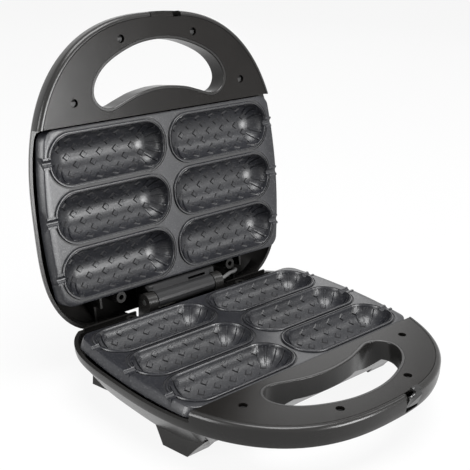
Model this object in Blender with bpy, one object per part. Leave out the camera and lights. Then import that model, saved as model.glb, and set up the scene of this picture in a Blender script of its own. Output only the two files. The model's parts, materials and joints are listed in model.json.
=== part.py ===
"""Corn dog maker: a base and a lid, each a moulded shell with a looped handle, a six-trough cooking
plate, a heater and a reflector. The lid swings on a pin at the rear, a clip at the front holds it.

Each half is modelled face up, with height zero at its plate's face, its hinge line along x at y zero
and its front towards minus y. The lid is the same half turned over above the hinge line. In place, the
whole stands on its pads with the middle of its depth at y zero.
"""
import math

import bmesh
import bpy
from mathutils import Matrix, Vector

# Whole appliance
FACE_HEIGHT = 0.0500
HINGE_BACK = 0.0880
FACE_GAP = 0.0007
OPEN_ANGLE_DEG = 99.26
FIT = 0.0003
OVERRUN = 0.0010
WELD = 0.000001
LEVEL_TOLERANCE = 0.0000001
SMOOTH_ANGLE_DEG = 28.0

# Rim outline and plate outline, shared by both halves
RIM_HALF_WIDTH = 0.1283
RIM_CENTRE = 0.0850
RIM_FRONT_REACH = 0.1520
RIM_FRONT = RIM_CENTRE + RIM_FRONT_REACH
RIM_REAR_REACH = 0.1080
RIM_REAR = 0.0130
FRONT_POWER = 2.5
REAR_POWER = 3.5
CORNER_POWER = 40.0
RAYS = 44
PLATE_SIDE_GAP = 0.0048
PLATE_HALF_WIDTH = RIM_HALF_WIDTH - PLATE_SIDE_GAP
PLATE_HALF_DEPTH = 0.0705
PLATE_CENTRE = RIM_CENTRE
PLATE_FRONT_GAP = 0.0008
BLOCK_FRONT = PLATE_CENTRE + PLATE_HALF_DEPTH + PLATE_FRONT_GAP

# Hinge widths
BARREL_HALF_LENGTH = 0.0308
LUG_GAP = 0.0008
LUG_THICKNESS = 0.0094
LUG_STEP = 0.0020
LUG_INNER = BARREL_HALF_LENGTH + LUG_GAP
LUG_OUTER = LUG_INNER + LUG_THICKNESS

# Shell walls
SHELL_WALL = 0.0023
FLOOR_WALL = 0.0025
SIDE_RIM_DROP = 0.0090
HANDLE_DEPTH = 0.0160
BULLNOSE = 0.0035
BULLNOSE_INSET = 0.0026
BULLNOSE_SHARES = ((1.0, 0.0), (0.40, 0.30), (0.0, 1.0))
BASE_EDGE_INSET = 0.0013
LID_EDGE_INSET = 0.0032
EDGE_START = 0.0100
EDGE_MIDDLE_SHARE = 0.67

# Base hull
HULL_DEPTH = 0.0400
HULL_SIDE_TAPER = 0.0175
HULL_FRONT_OUT = 0.0154
HULL_FRONT = BLOCK_FRONT + HULL_FRONT_OUT
HULL_FRONT_TAPER = 0.0220
HULL_REAR_TAPER = 0.0040
HULL_BOTTOM_ROUND = 0.0030
HULL_ROUND_SHARE = 0.92
REAR_RELIEF_DEPTH = 0.0175
REAR_RELIEF_START = 0.0055

# Lid dome: share of height, share of side run, share of front run, share of rear run
DOME_HEIGHT = 0.0480
DOME_TOP_HALF_WIDTH = 0.0333
DOME_SIDE_RUN = RIM_HALF_WIDTH - DOME_TOP_HALF_WIDTH
DOME_FRONT_OUT = 0.0097
DOME_FRONT = BLOCK_FRONT + DOME_FRONT_OUT
DOME_FRONT_RUN = 0.0860
DOME_REAR_RUN = 0.0480
DOME_SHARES = (
    (0.333, 0.034, 0.00, 0.00),
    (0.438, 0.074, 0.03, 0.00),
    (0.583, 0.134, 0.10, 0.05),
    (0.750, 0.253, 0.25, 0.25),
    (0.885, 0.442, 0.45, 0.50),
    (0.969, 0.716, 0.77, 0.80),
    (1.000, 1.000, 1.00, 1.00),
)
DOME_WALL_SHARES = (
    (1.0, 0.0),
    (1.0, 0.2),
    (0.9, 0.5),
    (0.7, 0.8),
    (0.5, 0.9),
    (0.3, 1.0),
    (0.2, 1.0),
)
HOLLOW_LEVELS = (1, 3, 4, 5, 6)
REAR_WINDOW_GAP = 0.0060
REAR_WINDOW_HALF = LUG_OUTER + REAR_WINDOW_GAP
REAR_WINDOW_DEPTH = 0.0245

# Handle: channel, cover seat and finger hole
LIP_WIDTH = 0.0037
CHANNEL_WALL = 0.0062
CHANNEL_FLOOR = 0.0020
CHANNEL_REAR_WALL = 0.0026
COVER_THICKNESS = 0.0026
COVER_CHAMFER = 0.0005
HOLE_LIP = 0.0024
HOLE_LEDGE = 0.0022
HOLE_SIDE_MARGIN = 0.0615
HOLE_HALF_WIDTH = RIM_HALF_WIDTH - HOLE_SIDE_MARGIN
HOLE_REAR_MARGIN = 0.0092
HOLE_FRONT_MARGIN = 0.0222
HOLE_REAR = BLOCK_FRONT + HOLE_REAR_MARGIN
HOLE_DEPTH = RIM_FRONT - HOLE_FRONT_MARGIN - HOLE_REAR
HOLE_SHARES = (
    (0.00, 1.000),
    (0.30, 0.959),
    (0.584, 0.832),
    (0.816, 0.659),
    (0.958, 0.446),
    (1.00, 0.233),
    (0.928, 0.061),
    (0.78, 0.000),
    (0.57, 0.087),
    (0.374, 0.170),
    (0.15, 0.219),
    (0.00, 0.229),
)
HOLE_STEPS = 2
FINE_SIDES = 20
MIDDLE_SIDES = 12
PLAIN_SIDES = 10
SMALL_SIDES = 6
SHANK_SIDES = 6
COVER_SCREW_SIDE_MARGIN = 0.0423
COVER_SCREW_REAR_MARGIN = 0.0169
COVER_SCREW_FRONT_MARGIN = 0.0190
COVER_SCREW_MIDDLE_SHARE = 0.551
COVER_SCREW_SIDE = RIM_HALF_WIDTH - COVER_SCREW_SIDE_MARGIN
COVER_SCREW_SIDE_FRONT = BLOCK_FRONT + COVER_SCREW_REAR_MARGIN
COVER_SCREW_MIDDLE = HOLE_HALF_WIDTH * COVER_SCREW_MIDDLE_SHARE
COVER_SCREW_MIDDLE_FRONT = RIM_FRONT - COVER_SCREW_FRONT_MARGIN

# Cooking plate
PLATE_BOW_RADIUS = 0.3900
PLATE_CORNER = 0.0110
BOW_STEPS = 2
CORNER_STEPS = 4
PLATE_SKIRT = 0.0086
PLATE_WALL = 0.0025
FIELD_DROP = 0.0012
BEAD_WIDTH = 0.0020
BEAD_SLOPE = 0.0006
BEAD_FOOT_SHARE = 1.4
BOWL_TOP_SHARE = 1.5
TROUGH_HALF_WIDTH = 0.0191
TROUGH_END_MARGIN = 0.0121
TROUGH_MIDDLE_GAP = 0.0092
TROUGH_ROW_MARGIN = 0.0056
TROUGH_HALF_LENGTH = (PLATE_HALF_WIDTH - TROUGH_END_MARGIN - TROUGH_MIDDLE_GAP / 2) / 2
TROUGH_X = TROUGH_HALF_LENGTH + TROUGH_MIDDLE_GAP / 2
TROUGH_PITCH = PLATE_HALF_DEPTH - TROUGH_ROW_MARGIN - TROUGH_HALF_WIDTH
TROUGH_DEPTH = 0.0160
TROUGH_ROUND_SHARE = 0.93
TROUGH_ANGLES_DEG = (0.0, 26.0, 52.0, 77.0)
BOWL_ANGLES_DEG = (10.0, 42.0, 74.0)
TROUGH_CORNER_STEPS = 3
STICK_RADIUS = 0.0030
STICK_WALL = 0.0015
RIB_WIDTH = 0.0080
BOSS_RADIUS = 0.0032
PEG_BOSS_RADIUS = 0.0035
PEG_RADIUS = 0.0015
PEG_LENGTH = 0.0050
CORNER_POST_SIDE_MARGIN = 0.0125
CORNER_POST_ROW_MARGIN = 0.0095
CORNER_POST_X = PLATE_HALF_WIDTH - CORNER_POST_SIDE_MARGIN
CORNER_POST_Y = PLATE_HALF_DEPTH - CORNER_POST_ROW_MARGIN

# Heater and reflector
HEATER_RADIUS = 0.0033
HEATER_LEVEL = 0.0125
HEATER_END_MARGIN = 0.0115
HEATER_BEND_MARGIN = 0.0075
HEATER_BEND_REACH = 0.0210
HEATER_END_X = PLATE_HALF_WIDTH - HEATER_END_MARGIN
HEATER_BEND_X = PLATE_HALF_WIDTH - HEATER_BEND_REACH - HEATER_BEND_MARGIN
HEATER_PIN_RADIUS = 0.0014
HEATER_PIN_LENGTH = 0.0050
HEATER_BEND_STEPS = 10
REFLECTOR_INSET = 0.0160
REFLECTOR_LEVEL = 0.0240
REFLECTOR_THICKNESS = 0.0008
REFLECTOR_LIP = 0.0035
REFLECTOR_POST_MARGIN = 0.0275
REFLECTOR_POST_X = PLATE_HALF_WIDTH - REFLECTOR_INSET - REFLECTOR_POST_MARGIN

# Posts in the shells
POST_RADIUS = 0.0040
RING_POST_SHARE = 0.468
RING_POST_X = RIM_HALF_WIDTH * RING_POST_SHARE
RING_POST_FRONT = 0.0093
RING_POST_RADIUS = 0.00475
RING_POST_BORE = 0.00225
RING_POST_TOP = 0.0040
RING_POST_BORE_DEPTH = 0.0140
REAR_RIB_SHARE = 0.600
REAR_RIB_X = RIM_HALF_WIDTH * REAR_RIB_SHARE
REAR_RIB_THICKNESS = 0.0020
REAR_RIB_FRONT = 0.0139
REAR_RIB_REAR = 0.0030
CROSS_RIB_REAR = 0.0030
CROSS_RIB_FRONT = 0.0008
CROSS_RIB_TOP = 0.0060
CROSS_RIB_STEP = 0.0002
CROSS_RIB_GAP = 0.0010
CROSS_RIB_LEFT = REAR_WINDOW_HALF + CROSS_RIB_GAP
CROSS_RIB_END = 0.0283
CROSS_RIB_OUTER = RIM_HALF_WIDTH - CROSS_RIB_END
CORD_WAY_HALF = 0.0100
CORD_WAY_TOP = 0.0170
SILL_REAR = 0.0060
SILL_FRONT = 0.0030
SILL_TOP = 0.0082
SILL_LOW = 0.0110

# Screws
SCREW_HEAD_RADIUS = 0.0030
SCREW_HEAD_HEIGHT = 0.0018
SCREW_SHANK_RADIUS = 0.0014
SCREW_LENGTH = 0.0080
SCREW_RECESS = 0.0045
CUP_WALL = 0.0013

# Hinge
BARREL_RADIUS = 0.0080
PIN_RADIUS = 0.0025
WEB_EAR = 0.0052
WEB_HALF_WIDTH = BARREL_HALF_LENGTH + WEB_EAR
WEB_FRONT = 0.0133
WEB_REAR = 0.0040
WEB_EAR_REAR = 0.0088
WEB_LOW = 0.0010
WEB_HIGH = 0.0070
WEB_WINDOW_START = 0.0070
WEB_WINDOW_END = 0.0260
WEB_WINDOW_REAR = 0.0084
ARM_END_STEP = 0.0008
ARM_HALF_WIDTH = BARREL_HALF_LENGTH - ARM_END_STEP
ARM_THICKNESS = 0.0025
ARM_HEIGHT = 0.0250
ARM_FLANGE_THICKNESS = 0.0024
ARM_FLANGE_REAR = 0.0030
ARM_SCREW_END = 0.0100
ARM_SCREW_X = ARM_HALF_WIDTH - ARM_SCREW_END
ARM_SCREW_FRONT = 0.0040
ARM_POST_RADIUS = 0.0045
LEAD_RADIUS = 0.0017
LEAD_GAP = 0.0006
LEAD_START = LUG_OUTER + LEAD_GAP
LEAD_SPAN = 0.0324
LEAD_BOW = 0.0010
LEAD_RISE = 0.0140
LEAD_SHARES = (
    (0.000, 0.0, 0.000),
    (0.198, 0.0, 0.000),
    (0.383, 0.8, 0.143),
    (0.568, 0.8, 0.343),
    (0.753, 0.0, 0.486),
    (0.907, 0.0, 0.714),
    (1.000, -1.0, 1.000),
)

# Latch
LATCH_X = 0.0210
LATCH_WIDTH = 0.0142
LATCH_GAP = 0.0004
LATCH_RECESS_BACK = 0.0078
LATCH_RECESS_FRONT = RIM_FRONT - LATCH_RECESS_BACK
LATCH_RECESS_DEPTH = 0.0144
LATCH_BACK_WALL = 0.0035
LATCH_SIDE_WALL = 0.0020
LATCH_PIN_BACK = 0.0045
LATCH_PIN_FRONT = RIM_FRONT - LATCH_PIN_BACK
LATCH_PIN_LEVEL = 0.0110
LATCH_PIN_RADIUS = 0.0012
LATCH_BOSS_RADIUS = 0.0029
LATCH_PLATE_THICKNESS = 0.0022
LATCH_PLATE_TOP = 0.0106
LATCH_HOOK_WIDTH = 0.0074
LATCH_HOOK_TOP = 0.0165
LATCH_HOOK_THICKNESS = 0.0019
LATCH_HOOK_REACH = 0.0027
LATCH_HOOK_TIP = 0.0013
LATCH_HOOK_STEP = 0.0002
LATCH_RELEASE_DEG = 20.0
LID_NOTCH_LEFT = 0.0060
LID_NOTCH_RIGHT = 0.0256
LID_TONGUE_LEFT = 0.0050
LID_TONGUE_RIGHT = 0.0170
LID_TONGUE_BACK = 0.0010
LID_TONGUE_FRONT = RIM_FRONT - LID_TONGUE_BACK
LID_TONGUE_DEPTH = 0.0084
LID_CATCH_BACK = 0.0057
LID_CATCH_FRONT = RIM_FRONT - LID_CATCH_BACK

# Feet
FOOT_CLEAR = 0.0008
PAD_RADIUS = 0.0070
PAD_THICKNESS = 0.0022
FRONT_FOOT_SIDE_MARGIN = 0.0163
FRONT_FOOT_FRONT_MARGIN = 0.0153
FRONT_FOOT_OUT = RIM_HALF_WIDTH - FRONT_FOOT_SIDE_MARGIN
FRONT_FOOT_FRONT = BLOCK_FRONT - FRONT_FOOT_FRONT_MARGIN
FRONT_FOOT_WIDTH = 0.0200
FRONT_FOOT_DEPTH = 0.0230
REAR_FOOT_SIDE_MARGIN = 0.0259
REAR_FOOT_OUT = RIM_HALF_WIDTH - REAR_FOOT_SIDE_MARGIN
REAR_FOOT_FRONT = 0.0320
REAR_FOOT_WIDTH = 0.0190
REAR_FOOT_DEPTH = 0.0190
FOOT_TOP = 0.0300
FRONT_FOOT_REAR_SPREAD = 0.0200
FRONT_FOOT_FRONT_SPREAD = 0.0160
FOOT_SKEW_SHARE = 0.2
FOOT_DRAWN_SHARES = (1.0, 0.45, 0.0)
PAD_PLACE_SHARE = 0.6

# Electrical pieces
GLAND_PLACE_SHARE = 0.499
GLAND_FLOOR_GAP = 0.0130
GLAND_X = RIM_HALF_WIDTH * GLAND_PLACE_SHARE
GLAND_LEVEL = HULL_DEPTH - GLAND_FLOOR_GAP
GLAND_RADIUS = 0.0049
GLAND_BORE = 0.0028
GLAND_FLANGE_RADIUS = 0.0070
GLAND_FLANGE = 0.0020
GLAND_PAD_RADIUS = 0.0090
GLAND_PAD_INNER = 0.0058
BLOCK_X = 0.0120
BLOCK_LENGTH = 0.0240
BLOCK_WIDTH = 0.0100
BLOCK_HEIGHT = 0.0090
BLOCK_HOLE = 0.0015
BLOCK_SEAT_WIDTH = 0.0100
BLOCK_SEAT_HEIGHT = 0.0025
THERMOSTAT_RADIUS = 0.0075
THERMOSTAT_FLANGE = 0.0010
THERMOSTAT_RIM = 0.0015
THERMOSTAT_TAB = 0.0040
THERMOSTAT_FLOOR_GAP = 0.0004
THERMOSTAT_ROOM = HULL_DEPTH - FLOOR_WALL - REFLECTOR_LEVEL - REFLECTOR_THICKNESS - FIT
THERMOSTAT_HEIGHT = THERMOSTAT_ROOM - THERMOSTAT_FLANGE - THERMOSTAT_TAB - THERMOSTAT_FLOOR_GAP
THERMOSTAT_TAB_WIDTH = 0.0060
THERMOSTAT_TAB_THICKNESS = 0.0008
LENS_X = 0.0110
LENS_FRONT = 0.1120
LENS_RADIUS = 0.0040
LENS_TIP_RADIUS = 0.0032
LENS_TOP = 0.0462
LENS_FLANGE = 0.0014
LENS_FLANGE_LEVEL = 0.0412
LENS_FLANGE_THICKNESS = 0.0010


for item in list(bpy.data.objects):
    bpy.data.objects.remove(item)
PARTS = bpy.data.collections.new("corn_dog_maker")
WORK = bpy.data.collections.new("cutters")
bpy.context.scene.collection.children.link(PARTS)
bpy.context.scene.collection.children.link(WORK)


def material(name, colour, roughness, metallic):
    """One Principled material."""
    made = bpy.data.materials.new(name)
    made.use_nodes = True
    shader = made.node_tree.nodes["Principled BSDF"]
    shader.inputs["Base Color"].default_value = (*colour, 1.0)
    shader.inputs["Roughness"].default_value = roughness
    shader.inputs["Metallic"].default_value = metallic
    return made


HOUSING = material("housing", (0.040, 0.039, 0.038), 0.42, 0.0)
COATING = material("nonstick_coating", (0.075, 0.074, 0.080), 0.38, 0.2)
STEEL = material("steel", (0.55, 0.55, 0.54), 0.32, 1.0)
HEATER_STEEL = material("heater_steel", (0.28, 0.27, 0.25), 0.45, 1.0)
ALUMINIUM = material("reflector_aluminium", (0.72, 0.72, 0.72), 0.35, 1.0)
SCREW_METAL = material("screw_metal", (0.10, 0.10, 0.10), 0.40, 1.0)
HINGE_GREY = material("hinge_grey", (0.38, 0.38, 0.38), 0.35, 0.0)
CLIP_BLACK = material("clip_black", (0.012, 0.012, 0.012), 0.18, 0.0)
RUBBER = material("rubber", (0.020, 0.020, 0.020), 0.80, 0.0)
LEAD_SLEEVE = material("lead_sleeve", (0.55, 0.54, 0.50), 0.60, 0.0)
CERAMIC = material("terminal_ceramic", (0.75, 0.73, 0.68), 0.50, 0.0)
RED_LENS = material("red_lens", (0.45, 0.02, 0.015), 0.15, 0.0)
GREEN_LENS = material("green_lens", (0.03, 0.32, 0.06), 0.15, 0.0)


# Working pieces

def is_level(face):
    """Whether all corners of a four-sided face lie in one plane."""
    corners = [vert.co for vert in face.verts]
    across = (corners[1] - corners[0]).cross(corners[2] - corners[0])
    if across.length == 0:
        return False
    return abs(across.normalized().dot(corners[3] - corners[0])) < LEVEL_TOLERANCE


def work_object(name, body):
    """Turn a bmesh into an object among the working pieces, with every face flat."""
    bent = [face for face in body.faces if len(face.verts) == 4 and not is_level(face)]
    bmesh.ops.triangulate(body, faces=bent)
    bmesh.ops.recalc_face_normals(body, faces=body.faces)
    mesh = bpy.data.meshes.new(name)
    body.to_mesh(mesh)
    body.free()
    made = bpy.data.objects.new(name, mesh)
    WORK.objects.link(made)
    made.display_type = "WIRE"
    made.hide_render = True
    return made


def loft(name, rings):
    """Closed solid through rings of equal point count."""
    body = bmesh.new()
    rows = []
    for ring in rings:
        rows.append([body.verts.new(point) for point in ring])
    count = len(rings[0])
    for upper, lower in zip(rows, rows[1:]):
        for index in range(count):
            after = (index + 1) % count
            body.faces.new((upper[index], upper[after], lower[after], lower[index]))
    body.faces.new(rows[0])
    body.faces.new(list(reversed(rows[-1])))
    return work_object(name, body)


def flat(name, outline, low, high):
    """A flat outline, given as x and distance to the front, extruded between two heights."""
    curve = bpy.data.curves.new(name, "CURVE")
    curve.dimensions = "2D"
    curve.fill_mode = "BOTH"
    curve.extrude = (high - low) / 2
    line = curve.splines.new("POLY")
    line.points.add(len(outline) - 1)
    for point, (across, front) in zip(line.points, outline):
        point.co = (across, -front, 0.0, 1.0)
    line.use_cyclic_u = True
    shape = bpy.data.objects.new(name, curve)
    WORK.objects.link(shape)
    body = from_curve(shape)
    bmesh.ops.translate(body, verts=body.verts, vec=(0.0, 0.0, (high + low) / 2))
    return work_object(name, body)


def from_curve(shape):
    """Mesh of a curve object with its caps welded; the curve is removed."""
    graph = bpy.context.evaluated_depsgraph_get()
    mesh = bpy.data.meshes.new_from_object(shape.evaluated_get(graph))
    body = bmesh.new()
    body.from_mesh(mesh)
    bmesh.ops.remove_doubles(body, verts=body.verts, dist=WELD)
    bpy.data.meshes.remove(mesh)
    bpy.data.objects.remove(shape)
    return body


def side_plate(name, outline, left, right):
    """An outline of y and height, extruded along x."""
    body = bmesh.new()
    rows = []
    for across in (left, right):
        rows.append([body.verts.new((across, y, z)) for y, z in outline])
    count = len(outline)
    for index in range(count):
        after = (index + 1) % count
        body.faces.new((rows[0][index], rows[0][after], rows[1][after], rows[1][index]))
    body.faces.new(rows[0])
    body.faces.new(list(reversed(rows[1])))
    return work_object(name, body)


def box(name, left, right, rear, front, low, high):
    """Box between x limits, distances to the front and heights."""
    body = bmesh.new()
    bmesh.ops.create_cube(body, size=1.0)
    size = (right - left, front - rear, high - low)
    middle = ((right + left) / 2, -(front + rear) / 2, (high + low) / 2)
    bmesh.ops.scale(body, verts=body.verts, vec=size)
    bmesh.ops.translate(body, verts=body.verts, vec=middle)
    return work_object(name, body)


def cylinder(name, radius, place, low, high, segments=PLAIN_SIDES, top_radius=None):
    """Upright cylinder or cone at x and distance to the front."""
    body = bmesh.new()
    upper = radius if top_radius is None else top_radius
    bmesh.ops.create_cone(body, cap_ends=True, segments=segments, radius1=radius, radius2=upper,
                          depth=high - low)
    bmesh.ops.translate(body, verts=body.verts, vec=(place[0], -place[1], (high + low) / 2))
    return work_object(name, body)


def rod(name, radius, left, right, place, segments=MIDDLE_SIDES):
    """Cylinder along x at distance to the front and height."""
    body = bmesh.new()
    bmesh.ops.create_cone(body, cap_ends=True, segments=segments, radius1=radius, radius2=radius,
                          depth=right - left)
    bmesh.ops.rotate(body, verts=body.verts, matrix=Matrix.Rotation(math.pi / 2, 3, "Y"))
    bmesh.ops.translate(body, verts=body.verts, vec=((left + right) / 2, -place[0], place[1]))
    return work_object(name, body)


def barrel(name, radius, rear, front, place, segments=MIDDLE_SIDES):
    """Cylinder along y between two distances to the front, at x and height."""
    body = bmesh.new()
    bmesh.ops.create_cone(body, cap_ends=True, segments=segments, radius1=radius, radius2=radius,
                          depth=front - rear)
    bmesh.ops.rotate(body, verts=body.verts, matrix=Matrix.Rotation(math.pi / 2, 3, "X"))
    bmesh.ops.translate(body, verts=body.verts, vec=(place[0], -(front + rear) / 2, place[1]))
    return work_object(name, body)


def tube(name, points, radius):
    """Round tube along a line of points."""
    curve = bpy.data.curves.new(name, "CURVE")
    curve.dimensions = "3D"
    curve.bevel_depth = radius
    curve.bevel_resolution = 2
    curve.use_fill_caps = True
    line = curve.splines.new("POLY")
    line.points.add(len(points) - 1)
    for point, place in zip(line.points, points):
        point.co = (*place, 1.0)
    shape = bpy.data.objects.new(name, curve)
    WORK.objects.link(shape)
    return work_object(name, from_curve(shape))


def combine(target, tool, operation):
    """Boolean of two working pieces; the tool is used up."""
    modifier = target.modifiers.new("combine", "BOOLEAN")
    modifier.operation = operation
    modifier.solver = "EXACT"
    modifier.object = tool
    graph = bpy.context.evaluated_depsgraph_get()
    mesh = bpy.data.meshes.new_from_object(target.evaluated_get(graph))
    target.modifiers.clear()
    before = target.data
    target.data = mesh
    bpy.data.meshes.remove(before)
    spent = tool.data
    bpy.data.objects.remove(tool)
    bpy.data.meshes.remove(spent)


def cut(target, *tools):
    """Take the tools away from a working piece."""
    for tool in tools:
        combine(target, tool, "DIFFERENCE")


def add(target, *tools):
    """Join the tools to a working piece."""
    for tool in tools:
        combine(target, tool, "UNION")


def finish(made, name, look, parent=None, turned=False):
    """Move a working piece to the parts, turned over if it belongs to the lid."""
    body = bmesh.new()
    body.from_mesh(made.data)
    bmesh.ops.remove_doubles(body, verts=body.verts, dist=WELD)
    if turned:
        bmesh.ops.scale(body, verts=body.verts, vec=(1.0, 1.0, -1.0))
        bmesh.ops.translate(body, verts=body.verts, vec=(0.0, 0.0, FACE_GAP / 2))
        bmesh.ops.reverse_faces(body, faces=body.faces)
    bmesh.ops.triangulate(body, faces=body.faces)
    mesh = bpy.data.meshes.new(name)
    body.to_mesh(mesh)
    body.free()
    mesh.shade_smooth()
    mesh.set_sharp_from_angle(angle=math.radians(SMOOTH_ANGLE_DEG))
    mesh.materials.append(look)
    part = bpy.data.objects.new(name, mesh)
    PARTS.objects.link(part)
    bpy.data.objects.remove(made)
    part.parent = parent
    part.location = (0.0, 0.0, 0.0) if parent else (0.0, HINGE_BACK, FACE_HEIGHT)
    return part


# Outlines

def rim_point(angle, inset, front, rear):
    """Point of the rounded outline at an angle, cut straight at the front and the rear."""
    across = math.cos(angle)
    along = math.sin(angle)
    half_width = RIM_HALF_WIDTH - inset
    if along >= 0:
        power = FRONT_POWER
        reach = RIM_FRONT_REACH - inset
        straight = front - RIM_CENTRE if front else 0.0
    else:
        power = REAR_POWER
        straight = RIM_CENTRE + rear
        reach = max(RIM_REAR_REACH - inset, straight * RIM_REAR_REACH / (RIM_CENTRE + RIM_REAR))
    inverse = (abs(across) / half_width) ** power + (abs(along) / reach) ** power
    inverse = inverse ** (1.0 / power)
    if straight:
        limit = abs(along) / straight
        inverse = (inverse ** CORNER_POWER + limit ** CORNER_POWER) ** (1.0 / CORNER_POWER)
    return across / inverse, RIM_CENTRE + along / inverse


def rim_ring(inset, level, front=None, rear=RIM_REAR):
    """Ring of the outline at a depth below the face; rear is the distance behind the hinge line."""
    ring = []
    for index in range(RAYS):
        across, along = rim_point(math.tau * index / RAYS, inset, front, rear)
        ring.append((across, -along, -level))
    return ring


def plate_outline(inset):
    """Plate outline with bowed sides and round corners, as x and distance to the front."""
    bow = PLATE_BOW_RADIUS - inset
    corner = max(PLATE_CORNER - inset, WELD)
    middle = PLATE_HALF_WIDTH - PLATE_BOW_RADIUS
    depth = PLATE_HALF_DEPTH - PLATE_CORNER
    corner_x = middle + math.sqrt((PLATE_BOW_RADIUS - PLATE_CORNER) ** 2 - depth ** 2)
    turn = math.atan2(depth, corner_x - middle)
    quarter = []
    for step in range(BOW_STEPS):
        angle = turn * step / BOW_STEPS
        quarter.append((middle + bow * math.cos(angle), bow * math.sin(angle)))
    for step in range(CORNER_STEPS + 1):
        angle = turn + (math.pi / 2 - turn) * step / CORNER_STEPS
        quarter.append((corner_x + corner * math.cos(angle), depth + corner * math.sin(angle)))
    left = [(-x, y) for x, y in reversed(quarter)]
    half = quarter + left
    low = [(x, -y) for x, y in reversed(half)]
    whole = half + low[1:-1]
    return [(x, PLATE_CENTRE + y) for x, y in whole]


def inset_plate(inset):
    """Plate outline drawn in by more than its corner radius, with square corners kept round."""
    shrink = min(inset, PLATE_CORNER / 2)
    scale_x = (PLATE_HALF_WIDTH - inset) / (PLATE_HALF_WIDTH - shrink)
    scale_y = (PLATE_HALF_DEPTH - inset) / (PLATE_HALF_DEPTH - shrink)
    points = []
    for x, front in plate_outline(shrink):
        points.append((x * scale_x, PLATE_CENTRE + (front - PLATE_CENTRE) * scale_y))
    return points


def trough_outline(centre, grow):
    """Long rounded outline of one trough, grown by an amount or drawn in if it is negative."""
    half_length = TROUGH_HALF_LENGTH + grow
    half_width = TROUGH_HALF_WIDTH + grow
    corner = half_width * TROUGH_ROUND_SHARE
    points = []
    for quadrant in range(4):
        start = quadrant * math.pi / 2
        side_x = 1 if quadrant in (0, 3) else -1
        side_y = 1 if quadrant in (0, 1) else -1
        for step in range(TROUGH_CORNER_STEPS + 1):
            angle = start + math.pi / 2 * step / TROUGH_CORNER_STEPS
            x = centre[0] + side_x * (half_length - corner) + corner * math.cos(angle)
            y = centre[1] + side_y * (half_width - corner) + corner * math.sin(angle)
            points.append((x, y))
    return points


def smooth_loop(controls, steps):
    """Closed curve through its control points."""
    count = len(controls)
    points = []
    for index in range(count):
        before = Vector(controls[index - 1])
        start = Vector(controls[index])
        end = Vector(controls[(index + 1) % count])
        after = Vector(controls[(index + 2) % count])
        for step in range(steps):
            t = step / steps
            value = 2 * start + (end - before) * t
            value += (2 * before - 5 * start + 4 * end - after) * t ** 2
            value += (3 * start - before - 3 * end + after) * t ** 3
            points.append(tuple(value / 2))
    return points


def hole_outline(grow):
    """Finger hole outline, grown outwards."""
    right = []
    for share_x, share_y in HOLE_SHARES:
        right.append((HOLE_HALF_WIDTH * share_x, HOLE_REAR + HOLE_DEPTH * share_y))
    left = [(-x, y) for x, y in reversed(right[1:-1])]
    loop = smooth_loop(right + left, HOLE_STEPS)
    grown = []
    count = len(loop)
    for index in range(count):
        before = Vector(loop[index - 1])
        after = Vector(loop[(index + 1) % count])
        along = (after - before).normalized()
        grown.append((loop[index][0] - along.y * grow, loop[index][1] + along.x * grow))
    return grown


def ring_at(outline, level):
    return [(x, -front, -level) for x, front in outline]


# Places

def cover_screw_places():
    places = []
    for side in (-1, 1):
        places.append((side * COVER_SCREW_SIDE, COVER_SCREW_SIDE_FRONT))
        places.append((side * COVER_SCREW_MIDDLE, COVER_SCREW_MIDDLE_FRONT))
    return places


def trough_places():
    places = []
    for row in (-1, 0, 1):
        for side in (-1, 1):
            places.append((side * TROUGH_X, PLATE_CENTRE + row * TROUGH_PITCH))
    return places


def corner_post_places():
    places = []
    for side in (-1, 1):
        for row in (-1, 1):
            places.append((side * CORNER_POST_X, PLATE_CENTRE + row * CORNER_POST_Y))
    return places


def reflector_post_places():
    places = []
    for side in (-1, 1):
        for row in (-1, 1):
            places.append((side * REFLECTOR_POST_X, PLATE_CENTRE + row * TROUGH_PITCH / 2))
    return places


def centre_boss_places():
    return [(0.0, PLATE_CENTRE + row * TROUGH_PITCH) for row in (-1, 1)]


# Shells

def band(edge_inset):
    """The rim slab with its rounded lip, from the face down to the handle's underside."""
    rings = []
    for inset_share, depth_share in BULLNOSE_SHARES:
        rings.append(rim_ring(BULLNOSE_INSET * inset_share, BULLNOSE * depth_share))
    rings.append(rim_ring(0.0, EDGE_START))
    middle = EDGE_START + (HANDLE_DEPTH - EDGE_START) * EDGE_MIDDLE_SHARE
    rings.append(rim_ring(edge_inset / 2, middle))
    rings.append(rim_ring(edge_inset, HANDLE_DEPTH))
    return loft("band", rings)


def hull_ring(share, level, thickness, extra=0.0, front_limit=None):
    front = HULL_FRONT - HULL_FRONT_TAPER * share - thickness - extra
    if front_limit:
        front = min(front, front_limit)
    rear = RIM_REAR - HULL_REAR_TAPER * share - thickness - extra
    inset = BASE_EDGE_INSET + HULL_SIDE_TAPER * share + thickness + extra
    return rim_ring(inset, level, front, rear)


def base_hull():
    rings = [hull_ring(0.0, HANDLE_DEPTH - OVERRUN / 2, 0.0)]
    level = HANDLE_DEPTH + (HULL_DEPTH - HANDLE_DEPTH) * HULL_ROUND_SHARE
    rings.append(hull_ring(HULL_ROUND_SHARE, level, 0.0))
    rings.append(hull_ring(1.0, HULL_DEPTH, 0.0, HULL_BOTTOM_ROUND))
    return loft("hull", rings)


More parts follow.
